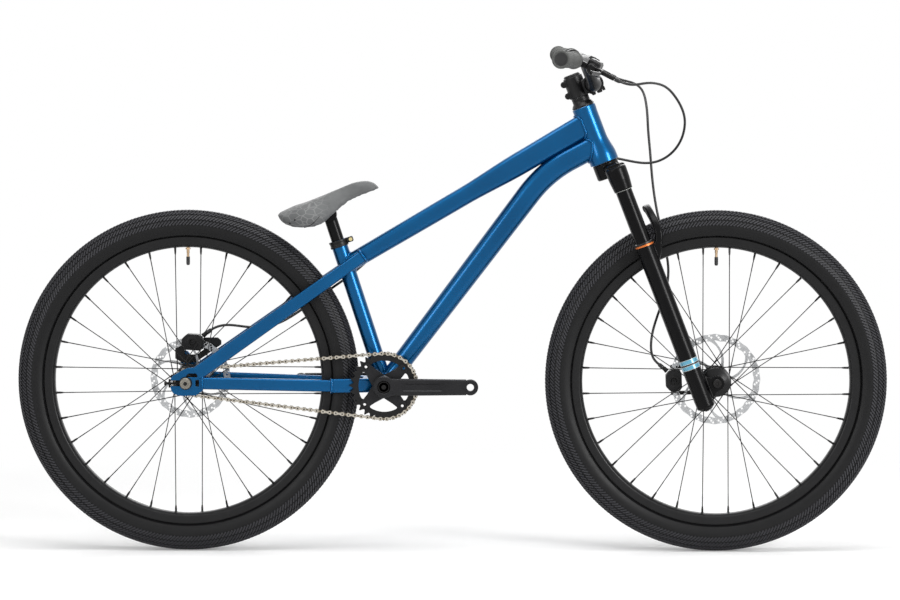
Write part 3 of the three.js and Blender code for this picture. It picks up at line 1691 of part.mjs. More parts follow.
function bothMeshes(name, geometry, material) {
  const left = new THREE.Mesh(geometry, material);
  left.name = `${name}_left`;
  const right = new THREE.Mesh(mirrored(geometry), material);
  right.name = `${name}_right`;
  return [left, right];
}

function onBothSides(name, make, material) {
  return [meshOf(`${name}_left`, make(1), material), meshOf(`${name}_right`, make(-1), material)];
}

function frameMeshes() {
  const rearHosePassage = hoseSolid(rearHosePoints(), hose.portRadius, hose.rearSteps);
  const topSeatLow = headLength - headTube.seatDepth + fitGap;
  const upperBearing = makeBearing(steerer.radius, headTube.topSeatRadius, topSeatLow);
  const lowerBearing = makeBearing(steerer.bottomRadius, headTube.bottomSeatRadius, 0);
  const bearings = groupAt(
    headBottom,
    meshOf("headset_bearing_upper", upperBearing, materials.steel),
    meshOf("headset_bearing_lower", lowerBearing, materials.steel),
  );
  bearings.rotation.y = (headAngle - 90) * degrees;
  const clamp = groupAt(seatTop, meshOf("seat_collar", makeCollar(), materials.black));
  clamp.rotation.y = (seatAngle - 90) * degrees;
  return [
    meshOf("head_tube", makeHeadTube(), materials.blue),
    meshOf("top_tube", makeTopTube(rearHosePassage), materials.blue),
    meshOf("down_tube", makeDownTube(), materials.blue),
    meshOf("seat_tube", makeSeatTube(), materials.blue),
    meshOf("bottom_bracket_shell", makeBottomBracketShell(), materials.blue),
    ...onBothSides("chainstay", makeChainstay, materials.blue),
    ...onBothSides("seatstay", makeSeatstay, materials.blue),
    ...onBothSides("dropout", makeDropout, materials.blue),
    ...onBothSides("bb_cup", makeBearingCup, materials.black),
    ...onBothSides("chain_tensioner", makeTensioner, materials.black),
    meshOf("rear_axle", makeRearAxle(), materials.black),
    meshOf("rear_caliper", makeCaliper().transform(rearCaliperFrame.elements), materials.black),
    meshOf("rear_caliper_bracket", makeRearBracket(), materials.black),
    meshOf("rear_hose", hoseSolid(rearHosePoints(), hose.radius, hose.rearSteps), materials.rubber),
    meshOf("chain", makeChain(), materials.nickel),
    bearings,
    clamp,
  ];
}

function seatMeshes() {
  const tube = groupAt(seatTop, meshOf("seat_post", makePost(), materials.black));
  tube.rotation.y = (seatAngle - 90) * degrees;
  const postHead = alongFrom(seatTop, seatUp, post.exposed);
  const seat = groupAt(postHead, meshOf("saddle", makeSaddle(), materials.leather));
  seat.rotation.y = -saddle.tilt * degrees;
  return [tube, seat];
}

function steeringMeshes() {
  const leverPlace = leverFrame();
  const pivot = new THREE.Matrix4().makeTranslation(lever.pivotAhead, 0, lever.pivotOut);
  const gripPlace = leverPlace.clone().setPosition(barCorners(1)[2]);
  return [
    meshOf("steerer_tube", makeSteerer(), materials.steel),
    meshOf("headset_cover", makeCover(), materials.black),
    meshOf("stem", makeStem(), materials.black),
    meshOf("stem_faceplate", makeFaceplate(), materials.black),
    meshOf("top_cap", makeTopCap(), materials.black),
    meshOf("handlebar", makeBar(), materials.black),
    ...bothMeshes("grip", geometryOf(makeGrip()).applyMatrix4(gripPlace), materials.grey),
    ...bothMeshes("lever_body", geometryOf(makeLeverBody()).applyMatrix4(leverPlace), materials.black),
    ...bothMeshes(
      "lever_blade",
      geometryOf(makeLeverBlade()).applyMatrix4(leverPlace.clone().multiply(pivot)),
      materials.black,
    ),
    meshOf("front_hose", hoseSolid(frontHosePoints(), hose.radius, hose.frontSteps), materials.rubber),
  ];
}

function forkMeshes() {
  return [
    meshOf("fork_crown", makeCrown(), materials.gloss),
    ...onBothSides("stanchion", makeStanchion, materials.gloss),
    meshOf("fork_lowers", makeLowers(), materials.gloss),
    ...onBothSides("wiper_seal", makeWiper, materials.orange),
    meshOf("front_axle", makeFrontAxle(), materials.black),
    meshOf("front_caliper", makeCaliper().transform(frontCaliperFrame.elements), materials.black),
  ];
}

function wheelMeshes(name, sizes, rotorRadius, rotorInsetHere, bore) {
  const rotorY = sizes.width / 2 - rotorInsetHere;
  const brakeDisc = meshOf(`${name}_rotor`, makeRotor(rotorRadius), materials.steel);
  brakeDisc.position.y = rotorY;
  return [
    meshOf(`${name}_tyre`, makeTyre(), materials.tyre),
    meshOf(`${name}_rim`, makeRim(), materials.black),
    meshOf(`${name}_valve`, makeValve(), materials.nickel),
    meshOf(`${name}_hub`, makeHub(sizes, bore, rotorInsetHere), materials.black),
    brakeDisc,
  ];
}

function buildBike() {
  const bike = new THREE.Group();
  const steering = groupAt(headBottom, ...steeringMeshes(), ...forkMeshes());
  steering.rotation.y = (headAngle - 90) * degrees;
  const frontBore = axle.frontRadius + fitGap;
  const rearBore = axle.rearRadius + fitGap;
  bike.add(
    ...frameMeshes(),
    ...seatMeshes(),
    steering,
    groupAt(frontAxle, ...wheelMeshes("front", frontHub, rotor.frontRadius, rotorInset.front, frontBore)),
    groupAt(rearAxle, ...wheelMeshes("rear", rearHub, rotor.rearRadius, rotorInset.rear, rearBore)),
    groupAt(rearAxle, meshOf("rear_cog", makeCog(), materials.steel)),
    groupAt(
      bottomBracket,
      meshOf("crank_arm_right", makeRightCrank(), materials.black),
      meshOf("crank_arm_left", makeLeftCrank(), materials.black),
      meshOf("chainring", makeChainring(), materials.black),
    ),
  );
  return bike;
}

export default buildBike();
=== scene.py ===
import math
import bmesh
import bpy
from mathutils import Matrix, Vector
from mathutils.bvhtree import BVHTree


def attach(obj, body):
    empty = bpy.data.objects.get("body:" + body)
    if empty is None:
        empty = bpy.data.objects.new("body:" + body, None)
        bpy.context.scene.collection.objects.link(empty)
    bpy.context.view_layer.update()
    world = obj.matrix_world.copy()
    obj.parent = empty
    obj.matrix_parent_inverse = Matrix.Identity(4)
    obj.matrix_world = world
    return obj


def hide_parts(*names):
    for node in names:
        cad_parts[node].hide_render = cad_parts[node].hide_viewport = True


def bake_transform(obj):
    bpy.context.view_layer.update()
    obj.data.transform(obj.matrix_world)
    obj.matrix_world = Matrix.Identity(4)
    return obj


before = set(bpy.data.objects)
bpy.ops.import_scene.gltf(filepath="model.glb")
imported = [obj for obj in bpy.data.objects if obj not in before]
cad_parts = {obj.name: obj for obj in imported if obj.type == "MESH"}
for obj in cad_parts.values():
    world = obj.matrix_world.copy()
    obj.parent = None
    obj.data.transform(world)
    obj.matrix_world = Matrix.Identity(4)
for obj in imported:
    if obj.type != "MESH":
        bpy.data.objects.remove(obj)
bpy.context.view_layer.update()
print("frame loaded:", len(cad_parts), "nodes")

# Pieces are drawn in millimetres, as the CAD source is, and addPiece scales them to metres.
metresPerMm = 0.001
mergeDistance = 1e-4
fullTurn = 2 * math.pi
across = Vector((0, 1, 0))

bike = dict(
    wheelbase=1044, tyreRadius=337.5, headAngle=69.05, headLength=117, forkLength=482.7, forkOffset=51.7,
    stayLength=389.5, bracketDrop=7.4, seatAngle=71.9, seatTube=300, crank=170, barWidth=750,
    frontHub=100, rearHub=135,
)


def direction(angle):
    return Vector((math.cos(math.radians(angle)), 0, math.sin(math.radians(angle))))


# A place matrix from its three directions and its origin.
def placeOf(ahead, left, up, origin):
    return Matrix([[ahead[i], left[i], up[i], origin[i]] for i in range(3)] + [[0, 0, 0, 1]])


def frameOf(up, ahead, origin):
    return placeOf(ahead, across, up, origin)


rearAxle = Vector((-bike["wheelbase"] / 2, 0, bike["tyreRadius"]))
frontAxle = Vector((bike["wheelbase"] / 2, 0, bike["tyreRadius"]))
stayRun = math.sqrt(bike["stayLength"] ** 2 - bike["bracketDrop"] ** 2)
bracketAt = rearAxle + Vector((stayRun, 0, -bike["bracketDrop"]))
steerUp = direction(180 - bike["headAngle"])
steerAhead = direction(90 - bike["headAngle"])
headBottom = frontAxle + bike["forkLength"] * steerUp - bike["forkOffset"] * steerAhead
seatUp = direction(180 - bike["seatAngle"])
seatAhead = direction(90 - bike["seatAngle"])
seatTop = bracketAt + bike["seatTube"] * seatUp
steerFrame = frameOf(steerUp, steerAhead, headBottom)
seatFrame = frameOf(seatUp, seatAhead, seatTop)
crossTurn = Matrix.Rotation(-math.pi / 2, 4, "X")  # a shape turned about Z is laid along the axles
sides = ((1, "left"), (-1, "right"))


# Shapes: mesh helpers that the pieces below share.

def placed(bm, verts, place):
    bmesh.ops.transform(bm, matrix=place, verts=verts)
    return verts


def madeSince(bm, before):
    return [vert for vert in bm.verts if vert not in before]


def wire(bm, points, closed):
    chain = [bmesh.ops.create_vert(bm, co=points[0])["vert"][0]]
    edges = []
    for point in points[1:]:
        out = bmesh.ops.extrude_vert_indiv(bm, verts=[chain[-1]])
        out["verts"][0].co = point
        chain.append(out["verts"][0])
        edges += out["edges"]
    if closed:
        edges += bmesh.ops.contextual_create(bm, geom=[chain[-1], chain[0]])["edges"]
    return chain, edges


def lathe(bm, profile, steps=48, place=None, closed=True):
    before = set(bm.verts)
    chain, edges = wire(bm, [(radius, 0, height) for radius, height in profile], closed)
    bmesh.ops.spin(bm, geom=chain + edges, cent=(0, 0, 0), axis=(0, 0, 1), dvec=(0, 0, 0), angle=fullTurn,
                   steps=steps, use_merge=True, use_duplicate=False)
    bmesh.ops.remove_doubles(bm, verts=madeSince(bm, before), dist=mergeDistance)
    verts = madeSince(bm, before)
    if place:
        placed(bm, verts, place)
    return verts


def crossLathe(bm, profile, centre, steps=48, closed=True):
    return lathe(bm, profile, steps, Matrix.Translation(centre) @ crossTurn, closed)


def mirrored(profile, side):
    return [(radius, side * height) for radius, height in profile]


def bevelled(bm, edges, offset, segments):
    bmesh.ops.bevel(bm, geom=edges, offset=offset, offset_type="OFFSET", segments=segments, profile=0.5,
                    affect="EDGES", material=-1, clamp_overlap=True)


def plate(bm, outline, low, high, place=None, holes=()):
    before = set(bm.verts)
    edges = []
    for loop in [outline, *holes]:
        edges += wire(bm, [(x, low, z) for x, z in loop], True)[1]
    filled = bmesh.ops.triangle_fill(bm, edges=edges, use_beauty=True, use_dissolve=True, normal=(0, 1, 0))
    faces = [item for item in filled["geom"] if isinstance(item, bmesh.types.BMFace)]
    raised = bmesh.ops.extrude_face_region(bm, geom=faces, use_keep_orig=True)["geom"]
    top = [item for item in raised if isinstance(item, bmesh.types.BMVert)]
    bmesh.ops.translate(bm, vec=(0, high - low, 0), verts=top)
    verts = madeSince(bm, before)
    if place:
        placed(bm, verts, place)
    return verts


def block(bm, size, centre, place=None, corner=0, segments=2):
    verts = bmesh.ops.create_cube(bm, size=1)["verts"]
    bmesh.ops.scale(bm, vec=size, verts=verts)
    bmesh.ops.translate(bm, vec=centre, verts=verts)
    if place:
        placed(bm, verts, place)
    if corner:
        bevelled(bm, list({edge for vert in verts for edge in vert.link_edges}), corner, segments)
    return verts


def framesAlong(points, side, closed=False):
    last = len(points) - 1
    right = side.copy()
    frames = []
    for index, point in enumerate(points):
        before = points[index - 1] if index or closed else point
        after = points[(index + 1) % len(points)] if index < last or closed else point
        tangent = (after - before).normalized()
        right = (right - right.dot(tangent) * tangent).normalized()
        frames.append((right.copy(), tangent.cross(right)))
    return frames


def sweep(bm, outline, points, side=across, closed=False, caps=True, place=None):
    before = set(bm.verts)
    shapeAt = outline if callable(outline) else lambda share: outline
    count = len(shapeAt(0))
    frames = framesAlong(points, side, closed)
    ring = bmesh.ops.create_circle(bm, cap_ends=False, segments=count, radius=1)["verts"]
    edges = firstEdges = list({edge for vert in ring for edge in vert.link_edges})
    last = len(points) - 1
    for index, point in enumerate(points):
        if index:
            old = set(ring)
            out = bmesh.ops.extrude_edge_only(bm, edges=edges)["geom"]
            fresh = {item for item in out if isinstance(item, bmesh.types.BMVert)}
            ring = [next(e.other_vert(v) for e in v.link_edges if e.other_vert(v) in fresh) for v in ring]
            edges = [e for e in out if isinstance(e, bmesh.types.BMEdge) and not (set(e.verts) & old)]
        right, up = frames[index]
        for vert, (x, y) in zip(ring, shapeAt(index / last)):
            vert.co = point + x * right + y * up
    if closed:
        bmesh.ops.bridge_loops(bm, edges=edges + firstEdges)
    elif caps:
        bmesh.ops.contextual_create(bm, geom=firstEdges)
        bmesh.ops.contextual_create(bm, geom=edges)
    verts = madeSince(bm, before)
    if place:
        placed(bm, verts, place)
    return verts


def roundedOutline(width, height, corner, steps=5):
    points = []
    for quarter, (right, up) in enumerate([(1, 1), (-1, 1), (-1, -1), (1, -1)]):
        for step in range(steps + 1):
            angle = (quarter + step / steps) * math.pi / 2
            x = right * (width / 2 - corner) + corner * math.cos(angle)
            y = up * (height / 2 - corner) + corner * math.sin(angle)
            points.append((x, y))
    return points


def circleOutline(radius, count=16, centre=(0, 0)):
    angles = [i * fullTurn / count for i in range(count)]
    return [(centre[0] + radius * math.cos(a), centre[1] + radius * math.sin(a)) for a in angles]


def smoothLine(points, perSpan=8, closed=False):
    count = len(points)
    out = []
    for index in range(count if closed else count - 1):
        p1, p2 = points[index], points[(index + 1) % count]
        p0 = points[index - 1] if index or closed else 2 * p1 - p2
        p3 = points[(index + 2) % count] if index < count - 2 or closed else 2 * p2 - p1
        for step in range(perSpan):
            t = step / perSpan
            out.append(0.5 * (2 * p1 + (p2 - p0) * t + (2 * p0 - 5 * p1 + 4 * p2 - p3) * t ** 2
                              + (3 * p1 - p0 - 3 * p2 + p3) * t ** 3))
    return out if closed else out + [points[-1]]


# The bend from start to end that leaves and arrives in line with the corner.
def bendLine(start, corner, end, steps):
    shares = [i / steps for i in range(steps + 1)]
    return [start * (1 - t) ** 2 + 2 * corner * t * (1 - t) + end * t * t for t in shares]


def lerp(start, end, share):
    return start + (end - start) * share


def smoothStep(value, low, high):
    share = min(1, max(0, (value - low) / (high - low)))
    return share * share * (3 - 2 * share)


def tableValue(places, values, share):
    share = min(max(share, places[0]), places[-1])
    for index in range(1, len(places)):
        if share <= places[index]:
            part = (share - places[index - 1]) / (places[index] - places[index - 1])
            return lerp(values[index - 1], values[index], smoothStep(part, 0, 1))
    return values[-1]


def stamped(bm, source, place):
    before = set(bm.verts)
    bm.from_mesh(source)
    placed(bm, madeSince(bm, before), place)


def shapeMesh(bm):
    mesh = bpy.data.meshes.new("shape")
    bm.to_mesh(mesh)
    bm.free()
    return mesh


def turnTo(axis, origin=(0, 0, 0)):
    turn = Vector((0, 0, 1)).rotation_difference(Vector(axis))
    return Matrix.Translation(origin) @ turn.to_matrix().to_4x4()


def linked(name, data):
    made = bpy.data.objects.new(name, data)
    bpy.context.scene.collection.objects.link(made)
    return made


def addRemesh(piece, name, size):
    remesh = piece.modifiers.new(name, "REMESH")
    remesh.mode = "VOXEL"
    remesh.voxel_size = size * metresPerMm
    remesh.use_smooth_shade = True
    return remesh


def surfaceTree(piece):
    spots = [vert.co / metresPerMm for vert in piece.data.vertices]
    return BVHTree.FromPolygons(spots, [face.vertices[:] for face in piece.data.polygons])


# Makes the bmesh a finished piece in metres, with its finish, body and the nodes it replaces.
def addPiece(name, bm, finish, body, nodes=(), slot=None, sharp=34, bevel=0, voxel=0, smooth=0):
    bmesh.ops.remove_doubles(bm, verts=bm.verts, dist=mergeDistance)
    bmesh.ops.recalc_face_normals(bm, faces=bm.faces)
    bmesh.ops.scale(bm, vec=(metresPerMm,) * 3, verts=bm.verts)
    mesh = bpy.data.meshes.new(name)
    bm.to_mesh(mesh)
    bm.free()
    mesh.shade_smooth()
    mesh.materials.append(finishes[finish])
    piece = linked(name, mesh)
    if voxel:
        addRemesh(piece, "cast", voxel)
        relax = piece.modifiers.new("relaxed", "SMOOTH")
        relax.factor = 0.5
        relax.iterations = smooth
    elif bevel:
        soft = piece.modifiers.new("edges", "BEVEL")
        soft.width = bevel * metresPerMm
        soft.segments = 2
        soft.limit_method = "ANGLE"
        soft.angle_limit = math.radians(sharp)
        soft.harden_normals = True
    else:
        mesh.set_sharp_from_angle(angle=math.radians(sharp))
    if body:
        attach(piece, body)
    if nodes:
        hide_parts(*nodes)
    return piece


def lathePiece(name, profile, place, finish, body, nodes=(), steps=48, closed=True, **looks):
    bm = bmesh.new()
    lathe(bm, profile, steps, place, closed)
    return addPiece(name, bm, finish, body, nodes, **looks)


def crossPiece(name, profile, centre, finish, body, nodes=(), steps=48, closed=False, **looks):
    place = Matrix.Translation(centre) @ crossTurn
    return lathePiece(name, profile, place, finish, body, nodes, steps, closed, **looks)


# Finishes: one procedural material each.

# Adds nodes to a tree in one call: a socket given as an input is linked, and a plain value is set.
def nodeMaker(tree):
    def node(kind, inputs=None, **settings):
        made = tree.nodes.new("ShaderNode" + kind)
        for key, value in settings.items():
            setattr(made, key, value)
        for key, value in (inputs or {}).items():
            if isinstance(value, bpy.types.NodeSocket):
                tree.links.new(value, made.inputs[key])
            else:
                made.inputs[key].default_value = value
        return made

    return node


def finishNodes(name):
    material = bpy.data.materials.new(name)
    material.use_nodes = True
    tree = material.node_tree
    return material, tree.nodes["Principled BSDF"], nodeMaker(tree), tree.links


def colourOf(red, green, blue):
    def linear(value):
        value /= 255
        return value / 12.92 if value <= 0.04045 else ((value + 0.055) / 1.055) ** 2.4
    return (linear(red), linear(green), linear(blue), 1)


# Each finish: two colours it wanders between, roughness range, metal, grain scale per metre and depth in mm.
finishTable = dict(
    blue=dict(low=(0, 68, 112), high=(3, 88, 140), rough=(0.24, 0.34), metal=0.85, patch=7, grain=3400,
              depth=0.0012, coat=0.26, coatRough=0.07, flakes=0.12, spec=0.1),
    black=dict(low=(12, 12, 13), high=(23, 23, 24), rough=(0.3, 0.42), metal=0.3, patch=40, grain=3200,
               depth=0.006, spec=0.34),
    gloss=dict(low=(2, 2, 3), high=(6, 6, 7), rough=(0.24, 0.3), metal=0, patch=22, grain=900, depth=0.001,
               spec=0.13),
    stanchion=dict(low=(3, 3, 4), high=(7, 7, 8), rough=(0.2, 0.28), metal=0.1, patch=60, grain=1500,
                   depth=0.001, stretch=(1, 1, 0.05), spec=0.13),
    hub=dict(low=(10, 10, 11), high=(22, 22, 23), rough=(0.24, 0.36), metal=0.4, patch=50, grain=2400,
             depth=0.004, stretch=(0.1, 1, 0.1), spec=0.4),
    crank=dict(low=(22, 22, 24), high=(40, 40, 42), rough=(0.34, 0.46), metal=0.6, patch=30, grain=2800,
               depth=0.005, spec=0.4),
    black_steel=dict(low=(18, 18, 19), high=(38, 37, 36), rough=(0.34, 0.5), metal=0.6, patch=120, grain=3000,
                     depth=0.008, spec=0.35),
    steel=dict(low=(158, 160, 162), high=(206, 207, 208), rough=(0.2, 0.36), metal=1, patch=160, grain=2600,
               depth=0.006),
    axle=dict(low=(112, 108, 100), high=(146, 142, 134), rough=(0.3, 0.44), metal=1, patch=200, grain=2600,
              depth=0.006),
    chain=dict(low=(150, 144, 132), high=(210, 204, 192), rough=(0.22, 0.4), metal=1, patch=420, grain=3000,
               depth=0.005),
    orange=dict(low=(196, 98, 36), high=(228, 128, 58), rough=(0.3, 0.42), metal=0.4, patch=60, grain=1800,
                depth=0.003),
    brass=dict(low=(176, 146, 112), high=(206, 180, 150), rough=(0.24, 0.4), metal=1, patch=180, grain=2400,
               depth=0.004),
    gold=dict(low=(206, 188, 128), high=(236, 222, 172), rough=(0.22, 0.36), metal=1, patch=140, grain=2000,
              depth=0.003),
    # The inner links and rollers are darker than the outer plates: painted shade between the outer plates.
    chainInnerPaintedShade=dict(low=(92, 85, 73), high=(142, 132, 116), rough=(0.3, 0.5), metal=1, patch=420, grain=3000,
                    depth=0.006),
    tyre=dict(low=(7, 7, 8), high=(15, 15, 16), rough=(0.4, 0.54), metal=0, patch=55, grain=900, depth=0.02,
              spec=0.22),
    tread=dict(low=(28, 28, 31), high=(60, 60, 64), rough=(0.46, 0.62), metal=0, patch=140, grain=1100,
               depth=0.03, spec=0.3),
    hose=dict(low=(12, 12, 13), high=(24, 24, 25), rough=(0.3, 0.46), metal=0, patch=60, grain=1500,
              depth=0.006),
    grip=dict(low=(66, 67, 66), high=(96, 97, 95), rough=(0.62, 0.8), metal=0, patch=110, grain=1300,
              depth=0.025),
    teal=dict(low=(56, 140, 172), high=(104, 176, 200), rough=(0.24, 0.34), metal=0.3, patch=30, grain=1200,
              depth=0.002, coat=1, coatRough=0.05),
    pale=dict(low=(150, 152, 148), high=(188, 190, 186), rough=(0.35, 0.5), metal=0.1, patch=60, grain=1200,
              depth=0.003),
    pads=dict(low=(92, 74, 52), high=(128, 104, 76), rough=(0.6, 0.8), metal=0.4, patch=200, grain=1400,
              depth=0.02),
)


def makeFinish(name, low, high, rough, metal, patch, grain, depth, coat=0, coatRough=0.05, flakes=0,
               stretch=(1, 1, 1), spec=0.5):
    material, shader, node, links = finishNodes(name)
    place = node("TexCoord").outputs["Object"]
    drawn = node("Mapping", {"Vector": place, "Scale": stretch}).outputs["Vector"]
    patches = node("TexNoise", {"Vector": place, "Scale": patch, "Detail": 5.0, "Roughness": 0.6})
    fine = node("TexNoise", {"Vector": drawn, "Scale": grain, "Detail": 2.0})
    colours = {0: patches.outputs["Fac"], 6: colourOf(*low), 7: colourOf(*high)}
    base = node("Mix", colours, data_type="RGBA").outputs[2]
    if flakes:  # metal flakes under the lacquer
        flake = node("TexVoronoi", {"Vector": place, "Scale": grain})
        spark = node("MapRange", {"Value": flake.outputs["Distance"], "From Min": 0.0, "From Max": 0.55,
                                  "To Min": 1 + flakes, "To Max": 1 - flakes / 2})
        colours = {0: 1, 6: base, 7: spark.outputs["Result"]}
        base = node("Mix", colours, data_type="RGBA", blend_type="MULTIPLY").outputs[2]
    links.new(base, shader.inputs["Base Color"])
    mixed = node("Math", {0: patches.outputs["Fac"], 1: fine.outputs["Fac"], 2: 0.1},
                 operation="MULTIPLY_ADD")
    spread = node("MapRange", {"Value": mixed.outputs[0], "From Min": 0.2, "From Max": 0.5,
                               "To Min": rough[0], "To Max": rough[1]})
    links.new(spread.outputs["Result"], shader.inputs["Roughness"])
    bump = node("Bump", {"Height": fine.outputs["Fac"], "Strength": 0.6, "Distance": depth * metresPerMm})
    links.new(bump.outputs["Normal"], shader.inputs["Normal"])
    shader.inputs["Metallic"].default_value = metal
    shader.inputs["Specular IOR Level"].default_value = spec
    shader.inputs["Coat Weight"].default_value = coat
    shader.inputs["Coat Roughness"].default_value = coatRough
    return material


finishes = {name: makeFinish(name, **values) for name, values in finishTable.items()}


leatherSizes = dict(low=(70, 71, 72), high=(108, 110, 110), patch=26, folds=120, pores=900, rough=(0.5, 0.72),
                    bump=0.55, depth=0.22, sheen=0.15, print=(186, 186, 186), printStrength=0.24, cells=62,
                    veinEdges=(0.02, 0.075), printFrom=-0.235, printFull=-0.275)


def makeSaddleLeather():
    s = leatherSizes
    material, shader, node, links = finishNodes("saddle")
    place = node("TexCoord").outputs["Object"]
    pores = node("TexVoronoi", {"Vector": place, "Scale": s["pores"]}, feature="DISTANCE_TO_EDGE")
    folds = node("TexNoise", {"Vector": place, "Scale": s["folds"], "Detail": 6.0})
    patches = node("TexNoise", {"Vector": place, "Scale": s["patch"], "Detail": 4.0})
    colours = {0: patches.outputs["Fac"], 6: colourOf(*s["low"]), 7: colourOf(*s["high"])}
    worn = node("Mix", colours, data_type="RGBA")
    # a faint print of leaf-like cells over the rear of the saddle
    turned = node("Mapping", {"Vector": place, "Rotation": (0.0, 0.4, 0.5), "Scale": (1.0, 1.0, 1.6)})
    cells = node("TexVoronoi", {"Vector": turned.outputs["Vector"], "Scale": s["cells"], "Randomness": 0.9},
                 feature="DISTANCE_TO_EDGE")
    veins = node("MapRange", {"Value": cells.outputs["Distance"], "From Min": s["veinEdges"][0],
                              "From Max": s["veinEdges"][1], "To Min": 1.0, "To Max": 0.0})
    parts = node("SeparateXYZ", {"Vector": place})
    rear = node("MapRange", {"Value": parts.outputs["X"], "From Min": s["printFrom"],
                             "From Max": s["printFull"], "To Min": 0.0, "To Max": 1.0})
    amount = node("Math", {0: veins.outputs["Result"], 1: rear.outputs["Result"]}, operation="MULTIPLY")
    faint = node("Math", {0: amount.outputs[0], 1: s["printStrength"]}, operation="MULTIPLY")
    colours = {0: faint.outputs[0], 6: worn.outputs[2], 7: colourOf(*s["print"])}
    printed = node("Mix", colours, data_type="RGBA")
    links.new(printed.outputs[2], shader.inputs["Base Color"])
    rough = node("MapRange", {"Value": folds.outputs["Fac"], "To Min": s["rough"][0],
                              "To Max": s["rough"][1]})
    links.new(rough.outputs["Result"], shader.inputs["Roughness"])
    height = node("Math", {0: pores.outputs["Distance"], 1: folds.outputs["Fac"]}, operation="ADD")
    bump = node("Bump", {"Height": height.outputs[0], "Strength": s["bump"],
                         "Distance": s["depth"] * metresPerMm})
    links.new(bump.outputs["Normal"], shader.inputs["Normal"])
    shader.inputs["Sheen Weight"].default_value = s["sheen"]
    return material


finishes["saddle"] = makeSaddleLeather()
for keptNode in ("headset_bearing_upper", "headset_bearing_lower", "steerer_tube"):
    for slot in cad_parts[keptNode].material_slots:
        slot.material = finishes["steel"]
print("finishes made:", len(finishes))


# Camera, lamps, world and floor.

view = dict(at=(0.149, -8.7, 1.09), aim=(-0.0038, 0, 0.497), lens=176.4, sensor=36, farthest=200)


def aimed(name, data, at, aim):
    made = linked(name, data)
    made.location = at
    made.rotation_euler = (Vector(aim) - Vector(at)).to_track_quat("-Z", "Y").to_euler()
    return made


def addCamera():
    data = bpy.data.cameras.new("camera")
    data.lens = view["lens"]
    data.sensor_width = view["sensor"]
    data.clip_end = view["farthest"]
    bpy.context.scene.camera = aimed("camera", data, view["at"], view["aim"])


lampTable = dict(
    overhead=dict(at=(0, -0.6, 3.6), aim=(0, 0, 0.4), size=(3.4, 1.9), watts=80),
    frontRight=dict(at=(3.2, -3.0, 1.7), aim=(0.2, 0, 0.5), size=(1.2, 1.8), watts=122),
    frontLeft=dict(at=(-3.0, -3.6, 1.6), aim=(-0.2, 0, 0.5), size=(1.2, 2.0), watts=46),
    behind=dict(at=(0.4, 3.6, 2.4), aim=(0, 0, 0.5), size=(3.4, 1.6), watts=46),
)


def addLamps():
    for name, lamp in lampTable.items():
        data = bpy.data.lights.new(name, "AREA")
        data.shape = "RECTANGLE"
        data.size, data.size_y = lamp["size"]
        data.energy = lamp["watts"]
        aimed(name, data, lamp["at"], lamp["aim"])


# 1 for the rays that should see the white background: those of the camera, of gloss and through glass.
def seenRay(node):
    path = node("LightPath").outputs
    first = node("Math", {0: path["Is Camera Ray"], 1: path["Is Glossy Ray"]}, operation="MAXIMUM")
    both = node("Math", {0: first.outputs[0], 1: path["Is Transmission Ray"]}, operation="MAXIMUM")
    return both.outputs[0]


worldLevel = 0.27


def addWorld():
    world = bpy.data.worlds.new("studio")
    world.use_nodes = True
    bpy.context.scene.world = world
    node = nodeMaker(world.node_tree)
    back = world.node_tree.nodes["Background"]
    back.inputs["Color"].default_value = (1, 1, 1, 1)
    level = node("MapRange", {"Value": seenRay(node), "To Min": worldLevel, "To Max": 1.0})
    world.node_tree.links.new(level.outputs["Result"], back.inputs["Strength"])


floorSizes = dict(radius=9, pale=(0.9, 0.94), grain=220, lift=0.12, fadeFrom=1.1, fadeTo=1.9)


def addFloor():
    s = floorSizes
    material, shader, node, links = finishNodes("floor")
    place = node("TexCoord").outputs["Object"]
    paper = node("TexNoise", {"Vector": place, "Scale": s["grain"], "Detail": 3.0})
    tint = node("MapRange", {"Value": paper.outputs["Fac"], "To Min": s["pale"][0], "To Max": s["pale"][1]})
    links.new(tint.outputs["Result"], shader.inputs["Base Color"])
    shader.inputs["Roughness"].default_value = 0.9
    shader.inputs["Specular IOR Level"].default_value = 0.1
    distance = node("VectorMath", {0: place}, operation="LENGTH")
    faded = node("MapRange", {"Value": distance.outputs["Value"], "From Min": s["fadeFrom"],
                              "From Max": s["fadeTo"]})
    glow = node("Emission", {"Color": (1, 1, 1, 1), "Strength": seenRay(node)})
    lift = node("Emission", {"Color": (1, 1, 1, 1), "Strength": s["lift"]})
    lit = node("AddShader", {0: shader.outputs[0], 1: lift.outputs[0]})
    joined = node("MixShader", {0: faded.outputs["Result"], 1: lit.outputs[0], 2: glow.outputs[0]})
    links.new(joined.outputs[0], material.node_tree.nodes["Material Output"].inputs["Surface"])
    bm = bmesh.new()
    bmesh.ops.create_circle(bm, cap_ends=True, segments=64, radius=s["radius"])
    mesh = bpy.data.meshes.new("floor")
    bm.to_mesh(mesh)
    bm.free()
    mesh.materials.append(material)
    floor = linked("floor", mesh)


bpy.context.scene.view_settings.view_transform = "Standard"
addCamera()
addLamps()
addWorld()
addFloor()
print("camera, lamps and floor set")


# The wheels.

tyreSizes = dict(
    seat=277.6, beadHalf=12.6, flange=285.6, bulgeRadius=305.5, bulgeHalf=28.7, lowHeight=22.2,
    topHeight=30.2,
    inside=((1, 9.4), (11.4, 13.5), (27.4, 25), (46.4, 19), (54.4, 6)), ringSteps=144,
    # radius and half thickness: above the rim and where the tread ends
    mouldings=((291.5, 0.5), (314.2, 0.6)),
    blocks=288, blockHeight=1.9, blockLength=14, blockWidth=3.3, blockTop=(0.78, 0.86), slant=46,
    rows=(8, 32, 54, 75),
)


def tyreSurface(angle):
    s = tyreSizes
    radians = math.radians(angle)
    tall = s["topHeight"] if angle < 90 else s["lowHeight"]
    return s["bulgeRadius"] + tall * math.cos(radians), s["bulgeHalf"] * math.sin(radians)


